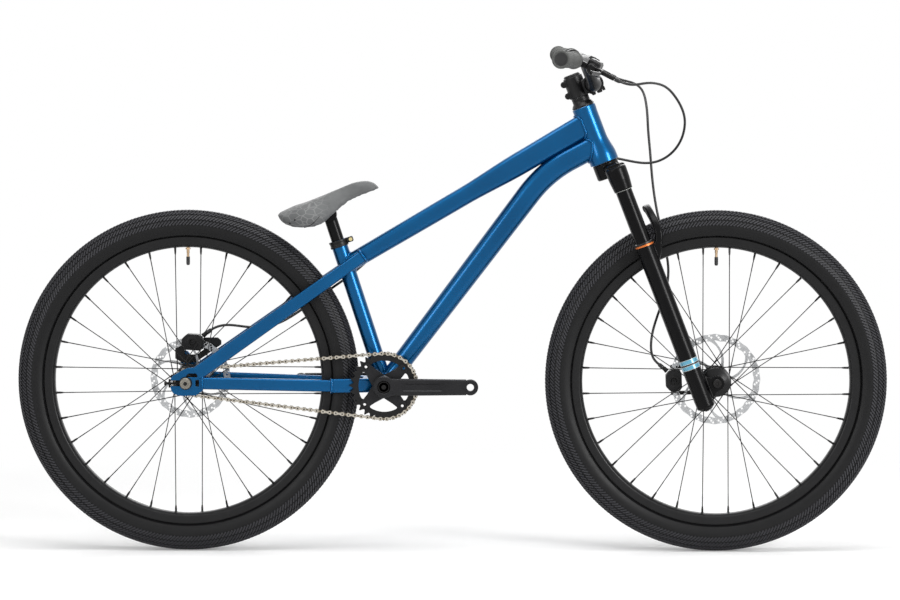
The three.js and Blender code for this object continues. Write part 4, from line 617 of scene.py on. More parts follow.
def makeCarcass(name, centre, body, node):
    s = tyreSizes
    outside = [tyreSurface(angle) for angle in range(-148, 149, 8)]
    outside = [(r, y) for r, y in outside if r > s["flange"]]
    profile = [(s["seat"], -s["beadHalf"]), (s["flange"], -s["beadHalf"] - 0.4), *outside,
               (s["flange"], s["beadHalf"] + 0.4), (s["seat"], s["beadHalf"])]
    inner = [(s["seat"] + rise, y) for rise, y in s["inside"]]
    bm = bmesh.new()
    crossLathe(bm, profile + inner + mirrored(inner, -1)[::-1], (0, 0, 0), s["ringSteps"])
    for side in (-1, 1):
        for radius, half in s["mouldings"]:
            tall = s["topHeight"] if radius > s["bulgeRadius"] else s["lowHeight"]
            share = (radius - s["bulgeRadius"]) / tall
            y = side * s["bulgeHalf"] * math.sqrt(1 - share * share)
            crossLathe(bm, circleOutline(half, 6, (radius, y)), (0, 0, 0), s["ringSteps"])
    bmesh.ops.translate(bm, vec=centre, verts=bm.verts)
    addPiece(name, bm, "tyre", body, [node], sharp=40)


# One slanted block of each row on both sides, spun round into the rows.
def makeTread(name, centre, body):
    s = tyreSizes
    blocks = bmesh.new()
    for side in (-1, 1):
        for row, angle in enumerate(s["rows"]):
            radius, y = tyreSurface(angle)
            tilt = math.atan2(y / s["bulgeHalf"] ** 2, (radius - s["bulgeRadius"]) / s["topHeight"] ** 2)
            verts = bmesh.ops.create_cube(blocks, size=1)["verts"]
            bmesh.ops.scale(blocks, vec=(s["blockWidth"], s["blockLength"], s["blockHeight"] * 2),
                            verts=verts)
            for vert in verts:
                if vert.co.z > 0:
                    vert.co.x *= s["blockTop"][0]
                    vert.co.y *= s["blockTop"][1]
            turn = Matrix.Rotation(math.radians(side * s["slant"]), 4, "Z")
            lean = Matrix.Rotation(-side * tilt, 4, "X")
            shift = Matrix.Rotation((row % 2) * math.pi / s["blocks"], 4, "Y")
            placed(blocks, verts, shift @ Matrix.Translation((0, side * y, radius)) @ lean @ turn)
    bmesh.ops.spin(blocks, geom=blocks.verts[:] + blocks.edges[:] + blocks.faces[:], cent=(0, 0, 0),
                   axis=(0, 1, 0), dvec=(0, 0, 0), angle=fullTurn * (1 - 1 / s["blocks"]),
                   steps=s["blocks"] - 1, use_duplicate=True, use_merge=False)
    bmesh.ops.translate(blocks, vec=centre, verts=blocks.verts)
    addPiece(name, blocks, "tread", body, sharp=30, slot="tyre")


rimSizes = dict(bed=277, inner=264, flange=285, half=16, bedHalf=13, spokeHalf=9, shoulder=270.5, lip=1.4)


def makeRim(name, centre, body, node):
    s = rimSizes
    inner, shoulder, flange, bed = s["inner"], s["shoulder"], s["flange"], s["bed"]
    half, spokeHalf, bedHalf = s["half"], s["spokeHalf"], s["bedHalf"]
    side = [(inner, 0), (inner, spokeHalf - 2.5), (inner + 0.5, spokeHalf), (shoulder - 2.4, half - 1.6),
            (shoulder - 0.8, half - 0.45), (shoulder + 1.2, half), (flange - 2.6, half), (flange - 2, half),
            (flange - 0.6, half - 0.2), (flange, half - 1), (flange - 0.4, half - s["lip"] - 1.2),
            (flange - 2.6, bedHalf), (bed + 1, bedHalf), (bed, bedHalf - 1.5), (bed, 0)]
    bm = bmesh.new()
    crossLathe(bm, side + mirrored(side[1:-1], -1)[::-1], centre, 160)
    addPiece(name, bm, "black", body, [node], sharp=28)


spokeSizes = dict(count=32, radius=1.05, thin=0.9, crosses=3, offset=1.35, rimOffset=3, hubRadius=26,
                  end=263.4,
                  nippleRadius=2.1, nippleLength=13, headRadius=2.1)


def addSpokes(name, centre, body, left, right):
    s = spokeSizes
    step = fullTurn / s["count"]
    nipple, long = s["nippleRadius"], s["nippleLength"]
    nippleShape = [(0, 0), (nipple + 0.4, 0), (nipple + 0.4, 1.4), (nipple, 1.6), (nipple, long * 0.55),
                   (nipple * 0.72, long), (0, long)]
    headShape = [(0, -0.6), (s["headRadius"], -0.6), (s["headRadius"], 0.2), (1, 1), (0, 1)]
    sizes = [s["radius"]] * 4 + [s["thin"]] * 2 + [s["radius"]] * 2

    def section(share):
        return circleOutline(sizes[round(share * (len(sizes) - 1))], 8)

    spokes, nipples = bmesh.new(), bmesh.new()
    for index in range(s["count"]):
        flange = left if index % 2 == 0 else -right
        side = 1 if flange > 0 else -1
        rimAngle = (index + 0.5) * step
        lead = 1 if index % 4 < 2 else -1
        hubAngle = rimAngle + lead * s["crosses"] * 2 * step
        start = Vector((s["hubRadius"] * math.cos(hubAngle), flange + lead * s["offset"] * 1.6,
                        s["hubRadius"] * math.sin(hubAngle)))
        rimY = side * s["rimOffset"] + lead * s["offset"] * 0.4
        end = Vector((s["end"] * math.cos(rimAngle), rimY, s["end"] * math.sin(rimAngle)))
        way = (end - start).normalized()
        points = [start - Vector((0, lead * 3.4, 0)), start - Vector((0, lead * 1.2, 0)) + way * 0.5,
                  start + way * 3]
        points += [lerp(start, end, share) for share in (0.12, 0.16, 0.84, 0.88, 0.985)]
        sweep(spokes, section, points, side=Vector((0.3, 0.2, 1)).cross(way))
        head = start - Vector((0, lead * 3.6, 0))
        lathe(spokes, headShape, 10, turnTo((0, -lead, 0), head), closed=False)
        lathe(nipples, nippleShape, 8, turnTo(-way, end + way * 0.2), closed=False)
    for bm, part in ((spokes, "_spokes"), (nipples, "_nipples")):
        bmesh.ops.translate(bm, vec=centre, verts=bm.verts)
        addPiece(name + part, bm, "black_steel", body)


def softProfile(points, radius=1.0, steps=3):
    corners = [Vector(point) for point in points]
    out = []
    for index, here in enumerate(corners):
        back, ahead = corners[index - 1] - here, corners[(index + 1) % len(corners)] - here
        reach = min(radius, back.length * 0.45, ahead.length * 0.45)
        soft = bendLine(here + back.normalized() * reach, here, here + ahead.normalized() * reach, steps)
        out += [tuple(spot) for spot in soft]
    return out


def makeHub(name, centre, body, node, width, left, right, drive, rotorY, bore):
    half = width / 2 - 0.3
    points = [
        (bore, -half), (drive, -half), (drive, -right - 7.2), (24, -right - 4), (29, -right - 2.4),
        (29, -right + 2.4),
        (24, -right + 3.6), (17, -right + 9), (15.5, 0), (17, left - 9), (24, left - 3.6), (29, left - 2.4),
        (29, left + 2.4), (22, left + 3.2), (22, rotorY - 1.3), (16.7, rotorY - 1.3), (16.7, rotorY + 2),
        (12, rotorY + 2.6), (12, half), (bore, half),
    ]
    bm = bmesh.new()
    crossLathe(bm, softProfile(points, 1.2), centre, 48)
    addPiece(name, bm, "hub", body, [node], sharp=32)


rotorSizes = dict(band=14.4, hub=24, hole=17, thickness=1.9, arms=6, armHalf=2.8, lean=0.62, sectors=12,
                  holeRadius=2.2, bolts=6, boltCircle=20.5,
                  boltHead=((0, 0), (3.6, 0), (3.6, 1.2), (2.6, 2), (1.5, 2), (1.3, 0.8), (0, 0.8)))


# One arm from the hub ring out to the band, leaning round as it goes.
def rotorArm(turn, low, high):
    s = rotorSizes
    shares = [i / 10 for i in range(11)]

    def edge(side):
        out = []
        for share in shares:
            at = lerp(low, high, share)
            half = s["armHalf"] * (1 + 0.9 * smoothStep(abs(share - 0.5), 0.3, 0.5))
            angle = turn + s["lean"] * share ** 1.3 + side * half / at
            out.append((at * math.cos(angle), at * math.sin(angle)))
        return out

    return edge(-1) + edge(1)[::-1]


# A sector of the band, with its holes, between two radii; a dozen of them make the ring.
def bandSector(bandIn, radius):
    s = rotorSizes
    wide = fullTurn / s["sectors"]
    shares = [i / 16 for i in range(17)]

    def rim(base, wave, lobes):
        return [(base + wave * math.cos(lobes * fullTurn * share), share * wide) for share in shares]

    outline = rim(radius - 0.6, 0.6, 2) + rim(bandIn + 0.8, 0.8, 2)[::-1]
    holes = []
    for index in range(3):
        for share, shift in ((0.27, 0.25), (0.52, 0.52), (0.78, 0.79)):
            if (index + round(share * 10)) % 3:
                at, angle = bandIn + s["band"] * share, (index + shift) * wide / 3
                holes.append(circleOutline(s["holeRadius"], 10, (at * math.cos(angle), at * math.sin(angle))))
    return [(r * math.cos(a), r * math.sin(a)) for r, a in outline], holes


def makeRotor(name, centre, body, node, radius):
    s = rotorSizes
    bandIn = radius - s["band"]
    half = s["thickness"] / 2
    sector = bmesh.new()
    outline, holes = bandSector(bandIn, radius)
    plate(sector, outline, -half, half, None, holes)
    sectorMesh = shapeMesh(sector)
    bm = bmesh.new()
    place = Matrix.Translation(centre)
    for index in range(s["sectors"]):
        stamped(bm, sectorMesh, place @ Matrix.Rotation(index * fullTurn / s["sectors"], 4, "Y"))
    plate(bm, circleOutline(s["hub"], 48), -half, half, place, [circleOutline(s["hole"], 40)])
    for index in range(s["arms"]):
        plate(bm, rotorArm(index * fullTurn / s["arms"], s["hub"] - 1, bandIn + 2), 0.1 - half, half - 0.1,
              place)
    addPiece(name, bm, "steel", body, [node], sharp=30)
    bolts = bmesh.new()
    for index in range(s["bolts"]):
        angle = (index + 0.5) * fullTurn / s["bolts"]
        at = Vector((s["boltCircle"] * math.cos(angle), half, s["boltCircle"] * math.sin(angle)))
        lathe(bolts, s["boltHead"], 16, turnTo(across, centre + at), closed=False)
    addPiece(name + "_bolts", bolts, "black_steel", body)


valveSizes = dict(base=277.3, tip=228, capTop=245, radius=3, capRadius=3.8)


def makeValve(name, centre, body, node):
    s = valveSizes
    radius, base, tip, capRadius, capTop = s["radius"], s["base"], s["tip"], s["capRadius"], s["capTop"]
    place = Matrix.Translation(centre)
    stem = bmesh.new()
    profile = [(0, capTop - 4), (radius - 0.4, capTop - 4), (radius - 0.4, 252), (radius, 253),
               (radius, base),
               (6, base), (6, base + 2.5), (0, base + 2.5)]
    lathe(stem, profile, 20, place, closed=False)
    lathe(stem, [(3.2, 262.6), (5, 262.6), (5, 259.6), (3.2, 259.6)], 16, place)  # the nut on the rim
    rows = [(0, tip), (2.4, tip + 0.4), (3.1, tip + 1.5)]
    for index in range(7):
        height = tip + 4 + index * 1.8
        rows += [(capRadius, height), (capRadius - 0.3, height + 0.9)]
    rows += [(capRadius, capTop), (0, capTop)]
    addPiece(name, stem, "brass", body, [node])
    lathePiece(name + "_cap", rows, place, "hose", body, steps=20, closed=False)


wheelTable = dict(
    front=dict(at=frontAxle, width=bike["frontHub"], left=22, right=34, drive=12, rotorY=39.5, bore=6.3,
               rotor=90),
    rear=dict(at=rearAxle, width=bike["rearHub"], left=33, right=30, drive=9.5, rotorY=52.2, bore=5.3,
              rotor=80),
)
for end, w in wheelTable.items():
    makeCarcass(end + "Tyre", w["at"], end + "_wheel", end + "_tyre")
    makeTread(end + "Tyre_tread", w["at"], end + "_wheel")
    makeRim(end + "Rim", w["at"], end + "_wheel", end + "_rim")
    makeValve(end + "Valve", w["at"], end + "_wheel", end + "_valve")
for end, w in wheelTable.items():
    addSpokes(end, w["at"], end + "_wheel", w["left"], w["right"])
for end, w in wheelTable.items():
    makeHub(end + "Hub", w["at"], end + "_wheel", end + "_hub", w["width"], w["left"], w["right"], w["drive"],
            w["rotorY"], w["bore"])
for end, w in wheelTable.items():
    makeRotor(end + "Rotor", w["at"] + w["rotorY"] * across, end + "_wheel", end + "_rotor", w["rotor"])
print("wheels made")


# The frame.

topTubeSizes = dict(seatDistance=248, headDistance=84, width=36, height=48, corner=13,
                    places=(0, 0.48, 0.72, 1), heights=(0.71, 0.76, 0.95, 1), steps=48)


def tubePiece(name, outline, points, nodes):
    bm = bmesh.new()
    sweep(bm, outline, points)
    addPiece(name, bm, "blue", "frame", nodes, sharp=50)


def topTubeEnds():
    seatEnd = bracketAt + topTubeSizes["seatDistance"] * seatUp
    return seatEnd, headBottom + topTubeSizes["headDistance"] * steerUp


def makeTopTube():
    s = topTubeSizes
    points = [lerp(*topTubeEnds(), i / s["steps"]) for i in range(s["steps"] + 1)]

    def section(share):
        tall = s["height"] * tableValue(s["places"], s["heights"], share)
        return roundedOutline(s["width"], tall, min(s["corner"], tall / 2 - 2), 6)

    tubePiece("topTube", section, points, ["top_tube"])


downTubeSizes = dict(width=42, height=46, shellHeight=37, corner=17, headDistance=38, slope=28, reach=116,
                     bend=250)


def downTubeLine():
    s = downTubeSizes
    end = headBottom + s["headDistance"] * steerUp
    slope = math.radians(s["slope"])
    elbow = end + s["reach"] * Vector((-math.cos(slope), 0, -math.sin(slope)))
    back, ahead = (bracketAt - elbow).normalized(), (end - elbow).normalized()
    reach = s["bend"] / math.tan(back.angle(ahead) / 2)
    a, b = elbow + back * reach, elbow + ahead * reach
    low = [lerp(bracketAt, a, i / 20) for i in range(20)]
    high = [lerp(b, end, i / 6) for i in range(1, 7)]
    return low + bendLine(a, elbow, b, 16) + high, (a - bracketAt).length


def makeDownTube():
    s = downTubeSizes
    points, straight = downTubeLine()
    last = len(points) - 1

    def section(share):
        point = points[round(share * last)]
        tall = lerp(s["shellHeight"], s["height"], min(1, (point - bracketAt).length / straight))
        return roundedOutline(s["width"], tall, s["corner"] + 0.5, 7)

    tubePiece("downTube", section, points, ["down_tube"])


headSizes = dict(top=23.4, waist=22.8, bottom=28.7, bore=20.4, flare=52, lip=10)


def makeHeadTube():
    s = headSizes
    length = bike["headLength"]
    flare = [(lerp(s["bottom"], s["waist"], smoothStep(i / 10, 0, 1)), lerp(s["lip"], s["flare"], i / 10))
             for i in range(11)]
    profile = [(s["bore"], 0.4), (s["bottom"] - 1, 0), (s["bottom"], 1), *flare,
               (s["waist"] + 0.1, length - 14), (s["top"], length - 9), (s["top"], length - 1),
               (s["top"] - 1, length), (s["bore"], length)]
    return lathePiece("headTube", profile, steerFrame, "blue", "frame", ["head_tube"], 64, sharp=40)


def makeSeatTube():
    low = 10 - bike["seatTube"]
    profile = [(13.4, low), (15.9, low), (15.9, -0.6), (15.3, 0), (13.4, 0)]
    return lathePiece("seatTube", profile, seatFrame, "blue", "frame", ["seat_tube"], sharp=40)


yokeSizes = dict(height=28, web=45, webInside=24, waist=56, waistInside=32, waistOutside=44.3, arm=106,
                 armSpread=44.5, armWidth=13, shellSide=35, shellBack=24, edge=4.5, bore=17.6, tube=21.5,
                 tubeHalf=36.5)


def makeBracketShell():
    s = yokeSizes
    inner, outer = s["armSpread"] - s["armWidth"] / 2, s["armSpread"] + s["armWidth"] / 2
    side = [(0, s["shellSide"]), (-s["shellBack"], s["shellSide"]), (-s["waist"], s["waistOutside"]),
            (-s["arm"], outer), (-s["arm"], inner), (-s["waist"], s["waistInside"]),
            (-s["web"], s["webInside"])]
    bm = bmesh.new()
    half = s["height"] / 2
    upright = Matrix.Translation(bracketAt) @ Matrix.Rotation(math.pi / 2, 4, "X")
    verts = plate(bm, side + mirrored(side, -1)[::-1], -half, half, upright)

    def isCorner(edge):
        run = edge.verts[0].co - edge.verts[1].co
        return edge.is_manifold and edge.calc_face_angle(0) > 0.5 and abs(run.y) + abs(run.x) > 1

    bevelled(bm, list({e for v in verts for e in v.link_edges if isCorner(e)}), s["edge"], 4)
    tube = [(s["bore"], -s["tubeHalf"]), (s["tube"], -s["tubeHalf"]), (s["tube"], s["tubeHalf"]),
            (s["bore"], s["tubeHalf"])]
    crossLathe(bm, softProfile(tube, 0.8), bracketAt, 64)
    return addPiece("bracketShell", bm, "blue", "frame", ["bottom_bracket_shell"], sharp=36)


staySizes = dict(width=13, height=24, corner=5.2, start=30, spread=72, yokeSpread=44.5, yokeBack=106,
                 seatHeight=28, slope=35.2, startX=21, startZ=18, elbowX=267, elbowSpread=42, endX=346,
                 endSpread=21.5, topShare=0.86, bendReach=26)


def chainstayEnds(side):
    s = staySizes
    start = rearAxle + Vector((s["start"], side * s["spread"], 0))
    return start, Vector((bracketAt.x - s["yokeBack"] + 2, side * s["yokeSpread"], bracketAt.z))


def seatstayPoint(side, x, spread):
    s = staySizes
    rise = math.tan(math.radians(s["slope"]))
    return rearAxle + Vector((x, side * spread, s["startZ"] + (x - s["startX"]) * rise))


def seatstayCorners(side):
    s = staySizes
    return [seatstayPoint(side, s[end + "X"], s[spread]) for end, spread in
            (("start", "spread"), ("elbow", "elbowSpread"), ("end", "endSpread"))]


def makeStays(side, name):
    s = staySizes
    start, end = chainstayEnds(side)
    start.x -= 4
    points = [lerp(start, end, i / 12) for i in range(13)]
    tubePiece("chainstay_" + name, roundedOutline(s["width"], s["height"], s["corner"], 5), points,
              ["chainstay_" + name])
    low, elbow, high = seatstayCorners(side)
    a = elbow + (low - elbow).normalized() * s["bendReach"]
    b = elbow + (high - elbow).normalized() * s["bendReach"]
    points = [lerp(low, a, i / 16) for i in range(16)] + bendLine(a, elbow, b, 8)
    points += [lerp(b, high, i / 6) for i in range(1, 7)]

    def section(share):
        return roundedOutline(s["width"], s["seatHeight"] * lerp(1, s["topShare"], share), s["corner"], 5)

    tubePiece("seatstay_" + name, section, points, ["seatstay_" + name])


# Shares of the dropout's length and height; the left one has the brake bracket's tab on top.
dropoutSizes = dict(
    length=64, height=56, back=30, slotHalf=5.4, slotFront=9, axleShare=0.45, spreadLow=67.5, spreadHigh=76.5,
    lower=((0, 0.3), (0.03, 0.18), (0.08, 0.1), (0.2, 0.03), (0.34, 0), (0.78, 0.02), (1, 0.2), (1, 0.64),
           (0.94, 0.9), (0.82, 0.97), (0.68, 1)),
    plain=((0.53, 0.98), (0.4, 0.93), (0.1, 0.73), (0.03, 0.66)),
    tab=((0.57, 1), (0.42, 1.3), (0.36, 1.38), (0.25, 1.4), (0.17, 1.36), (0.12, 1.2), (0.14, 0.9),
         (0.12, 0.76), (0.03, 0.66)),
    windows=(((0.5, 0.66), (0.81, 0.66), (0.83, 0.7), (0.83, 0.77), (0.8, 0.79), (0.56, 0.79), (0.52, 0.76),
              (0.48, 0.69)),
             ((0.79, 0.33), (0.86, 0.33), (0.88, 0.36), (0.88, 0.54), (0.86, 0.57), (0.79, 0.57),
              (0.77, 0.54),
              (0.77, 0.36))),
)


def makeDropout(side, name):
    s = dropoutSizes

    def spots(shares):
        return [(x * s["length"] - s["back"], (z - s["axleShare"]) * s["height"]) for x, z in shares]

    # the open slot for the axle, cut in from the rear end
    half, front = s["slotHalf"], s["slotFront"]
    slot = [(-s["back"] - 0.5, half), (front - half, half)]
    slot += [(front - half + half * math.cos(a), half * math.sin(a)) for a in
             [math.pi / 2 - i * math.pi / 8 for i in range(1, 8)]]
    slot += [(front - half, -half), (-s["back"] - 0.5, -half)]
    outline = spots(s["lower"] + (s["tab"] if side > 0 else s["plain"])) + slot
    low, high = sorted((side * s["spreadLow"], side * s["spreadHigh"]))
    bm = bmesh.new()
    plate(bm, outline, low, high, Matrix.Translation(rearAxle), [spots(window) for window in s["windows"]])
    addPiece("dropout_" + name, bm, "blue", "frame", ["dropout_" + name], bevel=0.9, sharp=30)


makeTopTube()
makeDownTube()
headTube = makeHeadTube()
seatTube = makeSeatTube()
bracketShell = makeBracketShell()
for side, name in sides:
    makeStays(side, name)
for side, name in sides:
    makeDropout(side, name)
print("frame made")


weldSizes = dict(radius=2.3, ripple=0.5, pitch=3.4, spacing=0.9, lift=0.2)


# The outline laid square to way at a spot.
def laidOutline(outline, spot, way):
    right = (across - across.dot(way) * way).normalized()
    up = way.cross(right)
    return [spot + x * right + z * up for x, z in outline]


# A weld bead where a tube's outline, pushed along way, meets the target's surface.
def weldLoop(outline, origin, way, target):
    tree = surfaceTree(target)
    ring = smoothLine([Vector(point) for point in outline], 2, closed=True)
    found = [tree.ray_cast(start, way) for start in laidOutline(ring, origin, way)]
    return [hit[0] + weldSizes["lift"] * hit[1] for hit in found if hit[0]]


def evenLine(points, spacing):
    lengths = [0]
    for start, end in zip(points, points[1:]):
        lengths.append(lengths[-1] + (end - start).length)
    count = max(12, round(lengths[-1] / spacing))
    out, at = [], 0
    for index in range(count):
        wanted = index * lengths[-1] / count
        while lengths[at + 1] < wanted:
            at += 1
        part = (wanted - lengths[at]) / max(1e-6, lengths[at + 1] - lengths[at])
        out.append(lerp(points[at], points[at + 1], part))
    return out + [points[-1]]


def addWelds(name, loops):
    s = weldSizes
    bm = bmesh.new()
    for loop in loops:
        points = evenLine(loop + [loop[0]], s["spacing"])[:-1]
        ripples = max(3, round(len(points) * s["spacing"] / s["pitch"]))

        def bead(share, ripples=ripples):
            return circleOutline(s["radius"] + s["ripple"] * abs(math.sin(math.pi * ripples * share)), 8)

        sweep(bm, bead, points, closed=True)
    addPiece(name, bm, "blue", "frame", sharp=60)


def tubeWelds():
    t, d = topTubeSizes, downTubeSizes
    seatEnd, headEnd = topTubeEnds()
    ahead = (headEnd - seatEnd).normalized()
    points = downTubeLine()[0]
    rise, low = (points[-1] - points[-4]).normalized(), (points[0] - points[5]).normalized()
    headOutline = roundedOutline(t["width"] + 1, t["height"] + 1, t["corner"], 4)
    seatOutline = roundedOutline(t["width"] - 5, t["height"] * t["heights"][0], t["corner"] - 2, 4)
    downOutline = roundedOutline(d["width"] + 1, d["height"] + 1, d["corner"], 4)
    shellOutline = roundedOutline(d["width"] + 1, d["shellHeight"] + 1, d["corner"] - 1, 4)
    loops = [weldLoop(headOutline, lerp(seatEnd, headEnd, 0.8), ahead, headTube),
             weldLoop(seatOutline, lerp(seatEnd, headEnd, 0.2), -ahead, seatTube),
             weldLoop(downOutline, points[-1] - 90 * rise, rise, headTube),
             weldLoop(shellOutline, points[0] - 70 * low, low, bracketShell),
             weldLoop(circleOutline(16.4, 24), bracketAt + 80 * seatUp, -seatUp, bracketShell)]
    addWelds("welds", [loop for loop in loops if len(loop) > 12])


def stayWelds():
    s = staySizes
    rings = []
    for side in (-1, 1):
        start, end = chainstayEnds(side)
        way = (end - start).normalized()
        for spot, grow in ((end, 1.4), (start + 2 * way, 1)):
            ring = roundedOutline(s["width"] + grow, s["height"] + grow, s["corner"], 3)
            rings.append(laidOutline(ring, spot, way))
        elbow, high = seatstayCorners(side)[1:]
        ring = roundedOutline(s["width"] + 1, s["seatHeight"] * s["topShare"] + 1, s["corner"], 3)
        rings.append(laidOutline(ring, high, (high - elbow).normalized()))
    addWelds("stayWelds", rings)


tubeWelds()
stayWelds()
print("welds made")


chainSizes = dict(
    pitch=12.7, line=50, ringTeeth=32, cogTeeth=12, ringLinks=17, cogLinks=5, runLinks=31, end=4.2, waist=1.6,
    inner=(1.75, 2.75), outer=(2.95, 3.95), roller=3.8, pin=1.8, pinEnd=4.2,
)
driveTurn = math.atan2(rearAxle.z - bracketAt.z, bracketAt.x - rearAxle.x)


def pitchRadius(teeth):
    return chainSizes["pitch"] / (2 * math.sin(math.pi / teeth))


def chainPins():
    s = chainSizes

    def arc(teeth, links, centre, turn):
        radius = pitchRadius(teeth)
        angles = [turn + (links / 2 - link) * fullTurn / teeth for link in range(links + 1)]
        return [Vector((centre + radius * math.cos(a), 0, radius * math.sin(a))) for a in angles]

    def run(start, end):
        return [lerp(start, end, link / s["runLinks"]) for link in range(1, s["runLinks"])]

    ring = arc(s["ringTeeth"], s["ringLinks"], bike["stayLength"], 0)
    cog = arc(s["cogTeeth"], s["cogLinks"], 0, math.pi)
    pins = ring + run(ring[-1], cog[0]) + cog + run(cog[-1], ring[0])
    turn = Matrix.Translation(rearAxle - s["line"] * across) @ Matrix.Rotation(driveTurn, 4, "Y")
    return [turn @ pin for pin in pins]


def linkOutline():
    s = chainSizes
    far = [math.radians(lerp(66, -66, i / 8)) for i in range(9)]
    near = [math.radians(lerp(-114, -246, i / 8)) for i in range(9)]
    points = [(s["pitch"] + s["end"] * math.cos(a), s["end"] * math.sin(a)) for a in far]
    points.append((s["pitch"] / 2, -s["waist"]))
    points += [(s["end"] * math.cos(a), s["end"] * math.sin(a)) for a in near]
    points.append((s["pitch"] / 2, s["waist"]))
    return points


def makeChain():
    s = chainSizes
    masters = []
    rods = bmesh.new()
    half, end, pin = s["inner"][0] + 0.2, s["pinEnd"], s["pin"]
    roller = [(0, -half), (s["roller"], -half), (s["roller"], half), (0, half)]
    rod = [(0, -end), (pin - 0.5, -end), (pin, 0.4 - end), (pin, end - 0.4), (pin - 0.5, end), (0, end)]
    for low, high in (s["inner"], s["outer"]):
        bm = bmesh.new()
        plate(bm, linkOutline(), low, high)
        plate(bm, linkOutline(), -high, -low)
        for x in (0, s["pitch"]):
            if high == s["inner"][1]:
                crossLathe(bm, roller, (x, 0, 0), 16, False)
            else:
                crossLathe(rods, rod, (x, 0, 0), 10, False)
        masters.append(shapeMesh(bm))
    pins = chainPins()
    inner, outer, joints = bmesh.new(), bmesh.new(), bmesh.new()
    rodMesh = shapeMesh(rods)
    for index, here in enumerate(pins):
        ahead = (pins[(index + 1) % len(pins)] - here).normalized()
        place = frameOf(ahead.cross(across), ahead, here)
        stamped(outer if index % 2 else inner, masters[index % 2], place)
        if index % 2:
            stamped(joints, rodMesh, place)
    addPiece("chainPins", joints, "black_steel", "frame", sharp=40)
    addPiece("chain", outer, "chain", "frame", ["chain"], sharp=40)
    # The inner links and their rollers take the darker finish, painted shade between the outer plates.
    addPiece("chainInnerPaintedShade", inner, "chainInnerPaintedShade", "frame", sharp=40, slot="chain")


def toothedOutline(teeth, turn, rise):
    radius = pitchRadius(teeth)
    root = radius - 4.1
    tooth = [(-0.5, root), (-0.38, root + 0.5), (-0.29, root + 2.2), (-0.2, radius),
             (-0.11, radius + rise * 0.72), (-0.045, radius + rise)]
    tooth += [(-share, reach) for share, reach in reversed(tooth[1:])]
    points = []
    for index in range(teeth):
        for share, reach in tooth:
            angle = turn + (index + share) * fullTurn / teeth
            points.append((reach * math.cos(angle), reach * math.sin(angle)))
    return points


def polar(points, turn=0):
    turned = [(radius, math.radians(angle + turn)) for radius, angle in points]
    return [(radius * math.cos(angle), radius * math.sin(angle)) for radius, angle in turned]


crankSizes = dict(
    boss=22, bossInside=46, bossOutside=77, inside=66.2, thickness=13.6, root=34, tip=31, corner=4.5,
    groove=2,
    grooveHalf=5.4, grooveStart=26, grooveEnd=136, eye=7.15, spiderTurn=43, spiderHigh=-51.7, spiderLow=-56.2,
    boltCircle=52.5, boltHole=3.1, hollow=12.4, armStart=13.4, armEnd=162, rootSunk=3, plateHalf=1.4,
    ringHole=46.4, ringTab=4.2,
    spiderArm=((23, -45), (29, -29), (38, -17), (48, -11.4), (55, -9.6), (57.6, -6), (58, 0), (57.6, 6),
               (55, 9.6),
               (48, 11.4), (38, 17), (29, 29)),  # radius and angle
    ringBolt=((2.8, -57.4), (4.6, -57.4), (5.2, -56.8), (5.2, -56.2), (4.2, -56.2), (4.2, -48.4),
              (5.2, -48.4),
              (5.2, -47.6), (2.8, -47.6)),
    spindle=((0, -74), (11, -74), (12, -72), (12, 72), (11, 74), (0, 74)),
    armBolt=((0, 70.5), (4.6, 70.5), (4.6, 74), (9.4, 74), (10.4, 73.2), (10.4, 68.5), (0, 68.5)),
)
spiderTurns = [crankSizes["spiderTurn"] + 90 * k for k in range(4)]
ringBolts = [polar([(crankSizes["boltCircle"], turn)])[0] for turn in spiderTurns]


def makeChainring():
    s = crankSizes

    def edge(angle):
        near = min(abs((angle - turn + 180) % 360 - 180) for turn in spiderTurns)
        return s["ringHole"] + s["ringTab"] * smoothStep(near, 8, 15)

    hole = polar([(edge(angle), angle) for angle in range(0, 360, 3)])
    bolts = [circleOutline(s["boltHole"], 16, spot) for spot in ringBolts]
    bm = bmesh.new()
    line, half = -chainSizes["line"], s["plateHalf"]
    outline = toothedOutline(chainSizes["ringTeeth"], -driveTurn, 3.3)
    plate(bm, outline, line - half, line + half, Matrix.Translation(bracketAt), [hole, *bolts])
    addPiece("chainring", bm, "black", "cranks", ["chainring"], sharp=30, bevel=0.3)


def makeCog():
    bm = bmesh.new()
    line, half = -chainSizes["line"], crankSizes["plateHalf"]
    outline = toothedOutline(chainSizes["cogTeeth"], math.pi - driveTurn, 3.1)
    plate(bm, outline, line - half, line + half, Matrix.Translation(rearAxle), [circleOutline(11, 32)])
    driver = [(10.2, -56), (14.7, -56), (15.5, -55.2), (15.5, -38.6), (14.7, -38), (10.2, -38)]
    crossLathe(bm, driver, rearAxle, 48)
    addPiece("rearCog", bm, "black_steel", "cog", ["rear_cog"], sharp=30)


# The crank arm's outline across its length, its outside face with the long shallow relief.
def armOutline(share, side):
    s = crankSizes
    reach = lerp(s["armStart"], s["armEnd"], share)
    tall = lerp(s["root"], s["tip"], share)
    sunk = s["rootSunk"] * (1 - smoothStep(reach, 16, 64))
    depth = s["groove"] * smoothStep(reach, s["grooveStart"], s["grooveStart"] + 14)
    depth *= 1 - smoothStep(reach, s["grooveEnd"] - 30, s["grooveEnd"])
    half, groove = s["thickness"] / 2, s["grooveHalf"]
    points = roundedOutline(s["thickness"], tall, s["corner"], 4)
    face = [(half, -groove - 2.4), (half - depth, -groove), (half - depth, groove), (half, groove + 2.4)]
    return [(side * (x - (sunk if x > 0 else 0)), y) for x, y in face + points]


